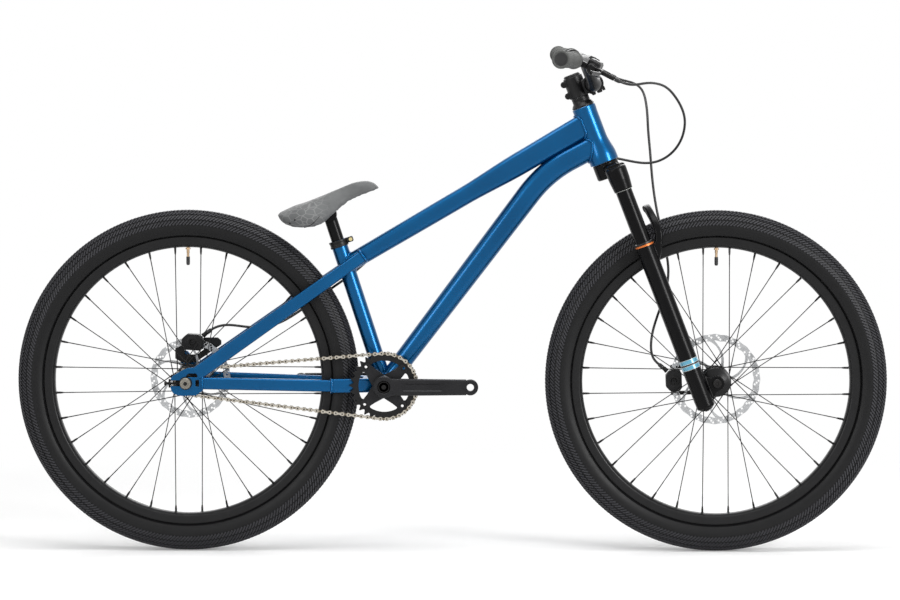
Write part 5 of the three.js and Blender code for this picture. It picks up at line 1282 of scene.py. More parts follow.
def makeCrankArm(side, name, nodes):
    s = crankSizes
    bm = bmesh.new()
    forward = Vector((-side, 0, 0))  # the right arm points forward and the left one back
    start = bracketAt + side * (s["inside"] + s["thickness"] / 2) * across
    points = [start + lerp(s["armStart"], s["armEnd"], i / 40) * forward for i in range(41)]
    sweep(bm, lambda share: armOutline(share, side), points)
    low, high = s["inside"] - 0.2, s["inside"] + s["thickness"] + 0.2
    tip, hole = s["tip"] / 2, s["eye"]
    eye = [(hole, low), (tip - 1.5, low), (tip, low + 1.5), (tip, high - 1.5), (tip - 1.5, high),
           (hole + 1, high), (hole, high - 1)]
    crossLathe(bm, mirrored(eye, side), bracketAt + bike["crank"] * forward, 48)
    inside, outside, wide, hollow = s["bossInside"], s["bossOutside"], s["boss"], s["hollow"]
    boss = [(0, inside), (wide - 1, inside), (wide, inside + 1), (wide, outside - 2.4), (wide - 2.2, outside),
            (hollow + 1, outside), (hollow, outside - 1), (hollow, outside - 9), (0, outside - 9)]
    crossLathe(bm, mirrored(boss, side), bracketAt, 64, closed=False)
    if side < 0:
        outline = [spot for turn in spiderTurns for spot in polar(s["spiderArm"], turn)]
        holes = [circleOutline(s["boltHole"], 16, spot) for spot in ringBolts]
        plate(bm, outline, s["spiderLow"], s["spiderHigh"], Matrix.Translation(bracketAt), holes)
        bolts = bmesh.new()
        for x, z in ringBolts:
            crossLathe(bolts, s["ringBolt"], bracketAt + Vector((x, 0, z)), 24)
        addPiece("chainringBolts", bolts, "black_steel", "cranks")
        crossPiece("spindle", s["spindle"], bracketAt, "black_steel", "cranks", steps=32)
    addPiece(name, bm, "crank", "cranks", nodes, sharp=32, slot="black")
    crossPiece(name + "_bolt", mirrored(s["armBolt"], side), bracketAt, "black_steel", "cranks", steps=36)


def makeBearingCup(side, name):
    notches = [(reach, (index + share) * 22.5) for index in range(16)
               for share, reach in ((0.04, 22), (0.34, 22), (0.4, 20.6), (0.94, 20.6))]
    bm = bmesh.new()
    low, high = sorted((side * 37, side * 44.2))
    plate(bm, polar(notches), low, high, Matrix.Translation(bracketAt), [circleOutline(12.8, 32)])
    crossLathe(bm, mirrored([(12.8, 44), (19.6, 44), (19, 45.2), (12.8, 45.2)], side), bracketAt, 48)
    addPiece("bearingCup_" + name, bm, "black", "frame", ["bb_cup_" + name], sharp=30)


makeChain()
makeChainring()
makeCog()
makeCrankArm(-1, "crankRight", ["crank_arm_right"])
makeCrankArm(1, "crankLeft", ["crank_arm_left"])
for side, name in sides:
    makeBearingCup(side, name)
print("drive made")


collarSizes = dict(
    ring=((16.2, -14), (18, -14), (18.4, -13.6), (18.4, -10.4), (17.7, -9.9), (17.7, -4.6), (18.4, -4.1),
          (18.4, -0.6), (18, -0.1), (16.2, -0.1)),
    ear=(14, 6.2, 10.6), earAt=(23, 4.4, -5.6), earCorner=2.4, boltAt=(25.2, 0, -5.6),
    bolt=((0, -7.6), (1.4, -7.6), (1.6, -8.9), (3.4, -8.9), (3.7, -8.5), (3.7, -6.5), (2.4, -6), (2.4, 7.4),
          (3.2, 7.4), (3.2, 8.6), (0, 8.6)),
)


def makeCollar():
    s = collarSizes
    bm = bmesh.new()
    lathe(bm, softProfile(s["ring"], 0.3, 2), 64, seatFrame)
    x, y, z = s["earAt"]
    for side in (-1, 1):
        block(bm, s["ear"], (x, side * y, z), seatFrame, s["earCorner"], 3)
    addPiece("collar", bm, "black", "frame", ["seat_collar"], sharp=32)
    place = seatFrame @ Matrix.Translation(s["boltAt"]) @ crossTurn
    lathePiece("collarBolt", s["bolt"], place, "gold", "frame", steps=24, closed=False, slot="brass")


postSizes = dict(radius=12.7, bore=9.5, low=-150, high=46, pivotUp=53.5, head=15, headHalf=13, teeth=20,
                 tooth=(29.7, 24, 1.1))
saddlePivot = Matrix.Translation((0, 0, postSizes["pivotUp"]))


def makePost():
    s = postSizes
    radius, bore, low, high = s["radius"], s["bore"], s["low"], s["high"]
    head, half = s["head"], s["headHalf"]
    bm = bmesh.new()
    lathe(bm, [(bore, low), (radius - 0.5, low), (radius, low + 0.5), (radius, high), (bore, high)], 48,
          seatFrame)
    barrel = [(0, -half), (head - 1, -half), (head, 1 - half), (head, half - 1), (head - 1, half), (0, half)]
    lathe(bm, barrel, 48, seatFrame @ saddlePivot @ crossTurn, closed=False)
    addPiece("post", bm, "gloss", "post", ["seat_post"], sharp=32)
    crown = bmesh.new()
    for index in range(s["teeth"]):  # the toothed crown that the saddle's pad bites on
        turn = Matrix.Rotation(math.radians(index * 180 / s["teeth"]), 4, "Y")
        block(crown, s["tooth"], (0, 0, 0), seatFrame @ saddlePivot @ turn)
    addPiece("postTeeth", crown, "black", "post")


saddleSizes = dict(
    length=214, width=120, depth=54, tilt=21.3, seatBack=99, seatDrop=38, shrink=1.2, steps=70, voxel=4.5,
    pressure=4, frames=20, cap=3,
    places=(0, 0.03, 0.1, 0.2, 0.3, 0.39, 0.48, 0.56, 0.65, 0.75, 0.85, 0.92, 0.97, 1),
    tops=(-0.13, 0.02, 0.03, 0.03, 0, 0, 0, 0.01, 0.02, 0.03, 0.02, -0.05, -0.2, -0.45),
    lows=(-0.2, -0.42, -0.66, -0.86, -0.97, -0.97, -0.84, -0.7, -0.56, -0.5, -0.49, -0.51, -0.53, -0.53),
    widths=(0.25, 0.55, 0.8, 0.96, 1, 0.93, 0.76, 0.58, 0.44, 0.38, 0.37, 0.34, 0.27, 0.12),
    section=((0, 0.34), (0.7, 0.14), (0.86, 0.02), (1, 0.22), (0.97, 0.5), (0.8, 0.8), (0.5, 0.95), (0, 1)),
    seam=((-52, -17), (-42, -17), (-30, -14), (-16, -7)), seamRadius=0.8,
    rivets=((-64, 4), (-76, 1)), rivet=((0, -1), (2, -1), (2, 0.2), (1.4, 0.8), (0, 1)),
    pan=((0, 2), (20, 2), (22, 6), (20, 16), (0, 16)),
)


def curveValue(places, values, share):
    index = max(i for i in range(len(places) - 1) if places[i] <= share or i == 0)
    before, after = max(index - 1, 0), min(index + 2, len(places) - 1)
    width = places[index + 1] - places[index]
    t = (share - places[index]) / width
    startSlope = (values[index + 1] - values[before]) / (places[index + 1] - places[before]) * width
    endSlope = (values[after] - values[index]) / (places[after] - places[index]) * width
    return (values[index] * (2 * t ** 3 - 3 * t ** 2 + 1) + startSlope * (t ** 3 - 2 * t ** 2 + t)
            + values[index + 1] * (3 * t ** 2 - 2 * t ** 3) + endSlope * (t ** 3 - t ** 2))


def saddlePlace():
    tilt = Matrix.Rotation(math.radians(-saddleSizes["tilt"]), 4, "Y")
    return Matrix.Translation(seatTop + postSizes["pivotUp"] * seatUp) @ tilt


def saddleSection(share):
    s = saddleSizes
    high = s["depth"] * curveValue(s["places"], s["tops"], share) + s["seatDrop"] - s["shrink"]
    low = s["depth"] * curveValue(s["places"], s["lows"], share) + s["seatDrop"] + s["shrink"]
    half = s["width"] / 2 * curveValue(s["places"], s["widths"], share) - s["shrink"]
    side = [Vector((half * x, lerp(low, high, y), 0)) for x, y in s["section"]]
    ring = side + [Vector((-p.x, p.y, 0)) for p in reversed(side[1:-1])]
    return [(p.x, p.y) for p in smoothLine(ring, 3, closed=True)]


def movedMesh(piece):
    graph = bpy.context.evaluated_depsgraph_get()
    return bpy.data.meshes.new_from_object(piece.evaluated_get(graph))


# Evens the saddle's mesh and blows it up a little as cloth under pressure, by no more than the cap.
def puffed(piece):
    s = saddleSizes
    remesh = addRemesh(piece, "even", s["voxel"])
    even = movedMesh(piece)
    piece.modifiers.remove(remesh)
    piece.data = even
    rest = [vert.co.copy() for vert in even.vertices]
    cloth = piece.modifiers.new("puff", "CLOTH")
    cloth.settings.use_pressure = True
    cloth.settings.uniform_pressure_force = s["pressure"]
    cloth.settings.effector_weights.gravity = 0
    for frameNumber in range(1, s["frames"] + 1):
        bpy.context.scene.frame_set(frameNumber)
    full = movedMesh(piece)
    piece.modifiers.remove(cloth)
    bpy.context.scene.frame_set(1)
    cap = s["cap"] * metresPerMm
    for vert, start in zip(full.vertices, rest):
        shift = vert.co - start
        vert.co = start + shift * min(1, cap / max(shift.length, 1e-9))
    piece.data = full


def makeSaddle():
    s = saddleSizes
    place = saddlePlace()
    long = s["length"] - 2 * s["shrink"]
    points = [Vector((i / s["steps"] * long + s["shrink"] - s["seatBack"], 0,
                      0)) for i in range(s["steps"] + 1)]
    bm = bmesh.new()
    sweep(bm, saddleSection, points, place=place)
    piece = addPiece("saddle", bm, "saddle", None, ["saddle"], sharp=80)
    puffed(piece)
    for face in piece.data.polygons:
        face.use_smooth = True
    if not piece.data.materials:
        piece.data.materials.append(finishes["saddle"])
    smooth = piece.modifiers.new("smooth", "SUBSURF")
    smooth.levels = smooth.render_levels = 1
    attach(piece, "seat")
    addSaddleTrim(surfaceTree(piece), place)
    lathePiece("saddlePan", s["pan"], place, "black", "seat", steps=32, closed=False)


# The seams and rivets lie where rays from both sides meet the puffed cover.
def addSaddleTrim(tree, place):
    s = saddleSizes
    trim, rivets = bmesh.new(), bmesh.new()
    for side in (-1, 1):
        def onSide(x, z):
            start = place @ Vector((x, side * 90, z + s["seatDrop"] - 26))
            return tree.ray_cast(start, place.to_3x3() @ Vector((0, -side, 0)))[:2]

        spots = [onSide(*spot)[0] for spot in s["seam"]]
        spots = [spot for spot in spots if spot]
        if len(spots) > 2:
            sweep(trim, circleOutline(s["seamRadius"], 8), smoothLine(spots, 8), side=Vector((0, 0, 1)))
        for spot in s["rivets"]:
            at, out = onSide(*spot)
            if at:
                lathe(rivets, s["rivet"], 16, turnTo(out, at), closed=False)
    addPiece("saddleSeam", trim, "hose", "seat")
    addPiece("saddleRivets", rivets, "black_steel", "seat")


makeCollar()
makePost()
makeSaddle()
print("seat made")


# Heights up the steering axis, and how far the bar's clamp sits ahead of it.
steering = dict(cover=117.6, stemBottom=137.9, stemTop=179.9, clampUp=152.9, clampAhead=34)


coverShape = ((14.6, 0), (21.8, 0), (22.4, 0.6), (22.4, 2.6), (21.6, 3.6), (19.8, 6.6), (17.8, 8.8),
              (17.4, 9.6),
              (17.4, 14.4), (16.9, 14.7), (16.9, 15.1), (17.4, 15.4), (17.4, 19.6), (17, 20), (14.6, 20))


def makeCover():
    profile = [(radius, steering["cover"] + up) for radius, up in coverShape]
    lathePiece("headsetCover", profile, steerFrame, "black", "steering", ["headset_cover"], 64)


def halfRing(outer, inner, low, high, steps=20):
    angles = [math.radians(lerp(low, high, i / steps)) for i in range(steps + 1)]
    points = [(outer * math.cos(a), outer * math.sin(a)) for a in angles]
    return points + [(inner * math.cos(a), inner * math.sin(a)) for a in reversed(angles)]


stemSizes = dict(
    column=19.5, neck=(20, 30, 30), neckAhead=19, clamp=20.5, bore=16.3, clampHalf=23, earUp=17, earOut=17,
    bossBack=-21, bossIn=9, boss=((0, -12), (5.6, -12), (6.5, -11), (6.5, 11), (5.6, 12), (0, 12)),
    rearBolt=((0, -11.6), (1.6, -11.6), (1.7, -13), (3.9, -13), (4.2, -12.7), (4.2, -11), (0, -11)),
    faceBolt=((0, 4.2), (1.6, 4.2), (1.7, 5.6), (3.6, 5.6), (3.9, 5.2), (3.9, 0), (0, 0)), faceBoltUp=15.6,
    cap=((0, 181.6), (2.6, 181.6), (2.8, 183.6), (6, 183.8), (6.4, 184.6), (14, 185), (15.6, 184),
         (16.9, 182),
         (17, 180.3), (11, 180.3), (11, 168), (0, 168)),
)


def makeStem():
    s = stemSizes
    up, ahead = steering["clampUp"], steering["clampAhead"]
    low, high, radius, half = steering["stemBottom"], steering["stemTop"], s["column"], s["clampHalf"]
    bm, bolts, face = bmesh.new(), bmesh.new(), bmesh.new()
    column = [(0, low), (radius - 0.9, low), (radius, low + 0.9), (radius, high - 0.9), (radius - 0.9, high),
              (0, high)]
    lathe(bm, column, 64, steerFrame, closed=False)
    block(bm, s["neck"], (s["neckAhead"], 0, up), steerFrame, 4, 3)
    clamp = steerFrame @ Matrix.Translation((ahead, 0, up))
    plate(bm, halfRing(s["clamp"], s["bore"], 94.5, 265.5), -half, half, clamp)
    plate(face, halfRing(s["clamp"] - 0.1, s["bore"], -85.5, 85.5), -half, half, clamp)
    ears = [(y, rise) for rise in (1, -1) for y in (-s["earOut"], s["earOut"])]
    for y, rise in ears:
        block(bm, (8, 10, 9), (ahead - 5.6, y, up + rise * s["earUp"]), steerFrame, 2, 3)
        block(face, (10, 10, 8), (ahead + 7, y, up + rise * s["earUp"]), steerFrame, 2, 3)
    for height in (low + s["bossIn"], high - s["bossIn"]):
        place = steerFrame @ (Matrix.Translation((s["bossBack"], 0, height)) @ crossTurn)
        lathe(bm, s["boss"], 24, place, closed=False)
        lathe(bolts, s["rearBolt"], 24, place, closed=False)
    for y, rise in ears:
        spot = Matrix.Translation((ahead + 13, y, up + rise * s["faceBoltUp"]))
        turned = steerFrame @ spot @ Matrix.Rotation(math.pi / 2, 4, "Y")
        lathe(bolts, s["faceBolt"], 24, turned, closed=False)
    addPiece("stem", bm, "black", "steering", ["stem"], voxel=0.7, smooth=5)
    addPiece("stemBolts", bolts, "black_steel", "steering")
    addPiece("stemFace", face, "black", "steering", ["stem_faceplate"], voxel=0.6, smooth=4)
    lathePiece("topCap", s["cap"], steerFrame, "black", "steering", ["top_cap"], closed=False)


barSizes = dict(clamp=15.9, end=11.1, clampHalf=36, bulgeEnd=62, bend=45, middle=50, foot=118, rise=50,
                backSweep=9.5, upSweep=5, leverIn=149)


def barCorners(side):
    s = barSizes
    up, ahead, half = steering["clampUp"], steering["clampAhead"], bike["barWidth"] / 2
    outward = half - s["foot"]
    back, rise = math.tan(math.radians(s["backSweep"])), math.tan(math.radians(s["upSweep"]))
    return [Vector((ahead, side * s["middle"], up)), Vector((ahead, side * s["foot"], up + s["rise"])),
            Vector((ahead - outward * back, side * half, up + s["rise"] + outward * rise))]


def roundedPath(corners, radius, steps):
    points = [corners[0]]
    for before, here, after in zip(corners, corners[1:], corners[2:]):
        back, ahead = (before - here).normalized(), (after - here).normalized()
        reach = radius / math.tan(back.angle(ahead) / 2)
        points += bendLine(here + back * reach, here, here + ahead * reach, steps)
    return points + [corners[-1]]


def filled(points, spacing):
    out = []
    for start, end in zip(points, points[1:]):
        count = max(1, round((end - start).length / spacing))
        out += [lerp(start, end, i / count) for i in range(count)]
    return out + [points[-1]]


def makeBar():
    s = barSizes
    corners = barCorners(-1)[::-1] + barCorners(1)
    path = filled(roundedPath(corners, s["bend"], 8), 6)
    last = len(path) - 1

    def section(share):
        wide = abs(path[round(share * last)].y)
        return circleOutline(lerp(s["clamp"], s["end"], smoothStep(wide, s["clampHalf"], s["bulgeEnd"])), 32)

    bm = bmesh.new()
    sweep(bm, section, path, side=Vector((1, 0, 0)), place=steerFrame)
    addPiece("handlebar", bm, "black", "steering", ["handlebar"], sharp=50)


# Where the lever sits on the bar, or the grip's place at the bar's end.
def leverPlace(side, atEnd=False):
    inner, outer = barCorners(1)[1:]
    out = (outer - inner).normalized()
    reach = bike["barWidth"] / 2 - barSizes["leverIn"] - barSizes["foot"]
    origin = outer if atEnd else inner + out * (reach / out.y)
    level = (Vector((1, 0, 0)) - out.x * out).normalized()
    ahead = Matrix.Rotation(math.radians(leverSizes["droop"]), 3, out) @ level
    place = placeOf(ahead, out.cross(ahead), out, origin)
    return steerFrame @ (place if side > 0 else Matrix.Scale(-1, 4, across) @ place)


gripSizes = dict(
    inner=((11.4, -136), (16.8, -136), (17.6, -135.2), (17.6, -132.8), (16.8, -132)),
    outer=((16.8, -4.2), (17.6, -3.4), (17.6, 1), (16.6, 2.6), (14.6, 3), (14, 2.2), (13.4, 2.2),
           (11.4, 0.4)),
    rib=15.6, groove=14.9, ribsFrom=-131, ribsTo=-7, ribPitch=3.3,
    plug=((0, 2.4), (9, 2.2), (9.3, 1.8), (13.3, 1.6), (13.4, 0.6), (0, 0.6)),
)


def makeGrip(side, name):
    s = gripSizes
    ribs = []
    at = s["ribsFrom"]
    while at < s["ribsTo"]:
        ribs += [(s["rib"], at), (s["rib"], at + 1.9), (s["groove"], at + 2.3), (s["groove"], at + 2.9)]
        at += s["ribPitch"]
    place = leverPlace(side, True)
    lathePiece("grip_" + name, [*s["inner"], *ribs, *s["outer"]], place, "grip", "steering", ["grip_" + name],
               sharp=40)
    lathePiece("gripPlug_" + name, s["plug"], place, "hose", "steering", closed=False)


leverSizes = dict(
    droop=48, clamp=((11.3, -6.5), (15.4, -6.5), (15.9, -6), (15.9, 6), (15.4, 6.5), (11.3, 6.5)),
    barrel=((0, -36), (9, -36), (10.5, -34), (10.5, 12), (8.6, 16), (0, 16)),
    # size, centre, corner, segments
    blocks=(((10, 12, 12), (-17, 0, 0), 2.5, 3), ((26, 12, 13), (25, 0, 0), 2, 3)),
    covers=(((25.6, 17, 40), (38, -8.4, -8), 4, 4), ((21, 2.4, 34), (38, -17.2, -8), 1, 2),
            ((22, 3, 33), (49, -6.8, 13.6), 1.2, 2), ((22, 3, 33), (49, 6.8, 13.6), 1.2, 2)),
    pin=((0, -8.6), (3.6, -8.6), (3.9, -8.2), (3.9, 8.2), (3.6, 8.6), (0, 8.6)),
    nozzle=((0, 8), (5.4, 8), (5.4, 15), (4.4, 16), (4.4, 40), (3.8, 42), (0, 42)),
    screw=((0, -0.2), (2.2, -0.2), (2.2, -0.9), (0, -0.9)),
    blade=((0, 0, 0), (7, 0, 23), (0, 0, 82), (5, 0, 92)), bladeBend=14, bladeWidth=10, bladeThickness=5,
    knuckle=((2.8, -5), (5.4, -5), (6, -4.4), (6, 4.4), (5.4, 5), (2.8, 5)),
)


def makeLever(side, name):
    s = leverSizes
    place = leverPlace(side)
    pivot = place @ Matrix.Translation((54, 0, 24))
    bm = bmesh.new()
    lathe(bm, s["clamp"], 48, place)
    for size, centre, corner, segments in s["blocks"]:
        block(bm, size, centre, place, corner, segments)
    lathe(bm, s["barrel"], 40, place @ Matrix.Translation((38, 0, 0)), closed=False)
    for size, centre, corner, segments in s["covers"]:
        block(bm, size, centre, place, corner, segments)
    addPiece("leverBody_" + name, bm, "black", "steering", ["lever_body_" + name], voxel=0.8, smooth=4)
    parts = bmesh.new()
    lathe(parts, s["pin"], 20, pivot @ crossTurn, closed=False)
    nozzle = place @ Matrix.Translation((38, 0, -30)) @ Matrix.Rotation(math.pi / 2, 4, "Y")
    lathe(parts, s["nozzle"], 24, nozzle, closed=False)
    for z in (-21, 5):
        lathe(parts, s["screw"], 16, place @ Matrix.Translation((38, -18, z)) @ crossTurn, closed=False)
    addPiece("leverParts_" + name, parts, "black_steel", "steering")
    path = filled(roundedPath([Vector(p) for p in s["blade"]], s["bladeBend"], 6), 3)
    last = len(path) - 1

    def section(share):
        grow = 1 - 0.18 * smoothStep(share, 0.1, 0.4) + 0.14 * smoothStep(share, 0.7, 0.95)
        end = min(1, math.sqrt(max(0, 1 - max(0, (share * last - last + 3) / 3) ** 2)) + 0.25)
        return [(x * grow * end, y * end) for x, y in roundedOutline(s["bladeWidth"], s["bladeThickness"], 2,
                                                                     4)]

    blade = bmesh.new()
    sweep(blade, section, path, place=pivot)
    lathe(blade, s["knuckle"], 32, pivot @ crossTurn)
    addPiece("leverBlade_" + name, blade, "black", name + "_lever", ["lever_blade_" + name], sharp=40)


makeCover()
makeStem()
makeBar()
for side, name in sides:
    makeGrip(side, name)
    makeLever(side, name)
print("steering made")


forkSizes = dict(
    ahead=15, spread=63, axleAhead=51.7, leg=18.3, legTop=-175.5, legFoot=-524.7, lug=15,
    crown=((0, -0.6), (24.4, -0.6), (25.5, -1.7), (25.5, -29), (23.6, -32), (0, -32)),
    socket=((0, -14.4), (18, -14.2), (20.6, -16), (21.2, -19), (20.7, -40), (18.9, -57), (18.6, -60.6),
            (18, -62),
            (0, -62)),
    crownRing=((16.1, -61.6), (18.5, -61.6), (18.5, -62.2), (18.1, -62.4), (16.1, -62.4)),
    stanchion=((13.5, -343), (15.5, -343), (16, -342.5), (16, -30), (13.5, -30)),
    wiper=((16.1, -175.2), (18.9, -175.2), (18.9, -174), (18.2, -173.8), (18.2, -173.3), (18.9, -173.1),
           (18.9, -172), (17, -171), (16.1, -171)),
    wiperRing=((17.6, -179.6), (18.75, -179.4), (18.75, -176.2), (17.6, -175.8)),
    # radius and height above the foot, then ahead and up from the axle
    foot=((10.6, 0), (12, 1.4), (13.5, 3), (18.3, 6.5)),
    web=((15, 34), (31, 31), (38, 18), (46, 14), (51.7, 14.8), (51.7, 7), (45, 0), (45, -7), (51.7, -8),
         (51.7, -14.8), (44, -17), (36, -26), (26, -38), (15, -40)),
    cap=((0, -526.6), (4, -526.6), (4.4, -526.2), (4.4, -524.4), (8, -524), (8, -522), (0, -522)),
    bands=((-417.6, -426), (-429.4, -437.6)),
    arch=((33.3, 63, -196), (46, 63, -176), (50, 61, -160), (50, 52, -142), (48.4, 37, -128.5),
          (47, 20, -119),
          (45, 0, -114)),
    archRoot=((22, 63, -214), (32, 63, -200), (42, 63, -182)),
)


def legPlace(side):
    return steerFrame @ Matrix.Translation((forkSizes["ahead"], side * forkSizes["spread"], 0))


def makeCrown():
    s = forkSizes
    bm, rings = bmesh.new(), bmesh.new()
    lathe(bm, s["crown"], 64, steerFrame, closed=False)
    for side in (-1, 1):
        shares = [i / 10 for i in range(11)]
        points = [Vector((7.5 * (1 - t) + 15 * t - 2, side * t * s["spread"], -17.4 - 2 * t)) for t in shares]
        sweep(bm, lambda share: roundedOutline(lerp(34, 29, share), 23, 7, 4), points, side=Vector((1, 0, 0)),
              place=steerFrame)
        lathe(bm, s["socket"], 64, legPlace(side), closed=False)
        lathe(rings, s["crownRing"], 64, legPlace(side))
    addPiece("crown", bm, "gloss", "steering", ["fork_crown"], voxel=1.0, smooth=8)
    addPiece("crownRings", rings, "pale", "steering", slot="steel")


def makeStanchions():
    s = forkSizes
    for side, name in sides:
        place = legPlace(side)
        lathePiece("stanchion_" + name, s["stanchion"], place, "stanchion", "steering",
                   ["stanchion_" + name], 64,
                   sharp=40)
        lathePiece("wiper_" + name, s["wiper"], place, "hose", "lowers", ["wiper_seal_" + name], 64, sharp=40)
        lathePiece("wiperRing_" + name, s["wiperRing"], place, "orange", "lowers", steps=64)


caliperSizes = dict(
    length=44, height=32, width=28, bevel=11, slot=3.2, inset=8, frontAngle=161, rearAngle=86,
    cap=((0, 9), (13, 9), (12.6, 12.4), (11, 14), (0, 14)), portAt=(19, 6, 13), portWay=(1, 0, 1),
    leftPlug=((0, 13.6), (8.4, 13.6), (8.4, 15.4), (6, 16), (0, 15.4)),
    rightPlug=((0, -12), (8.6, -12), (8.6, -14.2), (8, -14.7), (6.6, -14.7), (6, -14), (0, -14)),
    port=((0, -1), (5, -1), (5, 2.4), (4.4, 3), (4.4, 8), (3.4, 9), (0, 9)),
    bolt=((0, -4), (2.6, -4), (2.6, 3), (4.4, 3), (4.6, 6.6), (0, 6.6)),
    pin=((0, -13), (1.5, -13), (1.5, 13), (0, 13)), pad=(24, 1.6, 19),
)


def caliperPlace(axle, angle, radius, height):
    up = direction(angle)
    origin = axle + (radius - caliperSizes["inset"]) * up
    origin.y = height
    return frameOf(up, across.cross(up), origin)


forkAxle = Vector((forkSizes["axleAhead"], 0, -bike["forkLength"]))
frontCaliper = steerFrame @ caliperPlace(forkAxle, caliperSizes["frontAngle"], 90, 39.5)
rearCaliper = caliperPlace(rearAxle, caliperSizes["rearAngle"], 80, 52.2)


def makeLeg(side, name):
    s = forkSizes
    place = legPlace(side)
    bm = bmesh.new()
    foot = [(radius, s["legFoot"] + up) for radius, up in s["foot"]]
    leg = [(0, s["legFoot"]), *foot, (s["leg"], s["legTop"]), (0, s["legTop"])]
    lathe(bm, leg, 96, place, closed=False)
    low, high = sorted((side * 50, side * 62))
    eye = [(6.2, low), (s["lug"], low), (s["lug"], high), (6.2, high)]
    lathe(bm, eye, 48, steerFrame @ Matrix.Translation(forkAxle) @ crossTurn)
    plate(bm, [(x, up - bike["forkLength"]) for x, up in s["web"]], low + 1, high - 1, steerFrame)
    if side > 0:
        for end in (-1, 1):
            block(bm, (8, 12, 44), (end * 26.3, 14, -16), frontCaliper, 2.5, 3)
    addPiece("leg_" + name, bm, "gloss", "lowers", ["fork_lowers"] if side < 0 else (), voxel=1.1, smooth=6)
    lathePiece("legFoot_" + name, s["cap"], place, "black_steel", "lowers", steps=24, closed=False)
    for high, low in s["bands"]:
        tag = name + str(round(-high))
        band = [(18, low), (18.5, low), (18.5, high), (18, high)]
        lathePiece("legBand_" + tag, band, place, "teal", "lowers", steps=64, slot="blue")
        edges = bmesh.new()
        for edge in (low, high):
            line = [(18, edge - 0.5), (18.56, edge - 0.5), (18.56, edge + 0.5), (18, edge + 0.5)]
            lathe(edges, line, 64, place)
        addPiece("legBandEdges_" + tag, edges, "pale", "lowers", slot="steel")


def makeArch():
    s = forkSizes
    arch = bmesh.new()
    half = [Vector(point) for point in s["arch"]]
    path = smoothLine(half + [Vector((p.x, -p.y, p.z)) for p in reversed(half[:-1])], 5)

    def section(share):
        return roundedOutline(15.6, 13.6 * (1 - 0.16 * smoothStep(abs(share - 0.5), 0.1, 0.3)), 4.5, 5)

    sweep(arch, section, path, side=Vector((1, 0, 0)), place=steerFrame)
    for side in (-1, 1):
        lathe(arch, [(0, -206), (s["leg"], -206), (s["leg"], -178), (0, -178)], 64, legPlace(side),
              closed=False)
        root = [Vector((x, side * y, z)) for x, y, z in s["archRoot"]]
        sweep(arch, roundedOutline(14, 18, 5, 5), smoothLine(root, 6), place=steerFrame)
    addPiece("arch", arch, "gloss", "lowers", voxel=0.9, smooth=8)


axleSizes = dict(
    frontHead=((0, 67.6), (3.4, 67.6), (3.6, 69.2), (7.6, 69.2), (8.8, 68), (9, 62.4), (0, 62.4)),
    frontRod=((0, -63), (6, -63), (6, 63), (0, 63)),
    rearHead=((0, 84.4), (3.6, 84.4), (3.9, 88), (6.2, 88), (6.6, 87), (10, 86.6), (11, 85.4), (11, 82),
              (10.6, 81.2),
              (0, 81.2)),
    # socket: a black hex set in each head's recess, painted shade for the hex socket.
    rearRod=((0, -82), (5, -82), (5, 82), (0, 82)), socket=((0, 84.7), (3.7, 84.7), (3.7, 86.6), (0, 86.6)),
)


def makeAxle(name, centre, head, rod, finish, body, node):
    bm = bmesh.new()
    for side in (-1, 1):
        crossLathe(bm, mirrored(axleSizes[head], side), centre, 48, closed=False)
    crossLathe(bm, axleSizes[rod], centre, 32, closed=False)
    addPiece(name, bm, finish, body, [node], slot="steel" if finish == "axle" else None)


# Black hexes in the rear axle heads' recesses: painted shade inside the hex sockets.
def makeAxleSocketShades():
    socketShades = bmesh.new()
    for side in (-1, 1):
        crossLathe(socketShades, mirrored(axleSizes["socket"], side), rearAxle, 6, closed=False)
    addPiece("rearAxleSocketShades", socketShades, "black", "frame")


tensionerSizes = dict(disc=12.6, bore=5.3, inside=76.9, outside=80.6, screw=2.5, thread=2.1, turns=26,
                      tail=((2.5, 37.6), (4, 37.6), (4, 41.2), (3.4, 41.8), (0, 41.8)), screwOut=78.8,
                      plate=(3, 9.6, 17), plateAt=(-31.8, 76.2, 0))


def makeTensioner(side, name):
    s = tensionerSizes
    bm = bmesh.new()
    disc = [(s["bore"], s["inside"]), (s["disc"], s["inside"]), (s["disc"], s["outside"]),
            (s["bore"], s["outside"])]
    crossLathe(bm, mirrored(disc, side), rearAxle, 48)
    screw = [(0, 10), (s["screw"], 10)]
    for turn in range(s["turns"]):
        screw += [(s["screw"], 11 + turn), (s["thread"], 11.5 + turn)]
    place = Matrix.Translation(rearAxle)
    along = place @ Matrix.Translation((0, side * s["screwOut"], 0)) @ Matrix.Rotation(-math.pi / 2, 4, "Y")
    lathe(bm, [*screw, *s["tail"]], 20, along, closed=False)
    x, y, z = s["plateAt"]
    block(bm, s["plate"], (x, side * y, z), place, 1, 2)
    addPiece("tensioner_" + name, bm, "black_steel", "frame", ["chain_tensioner_" + name])


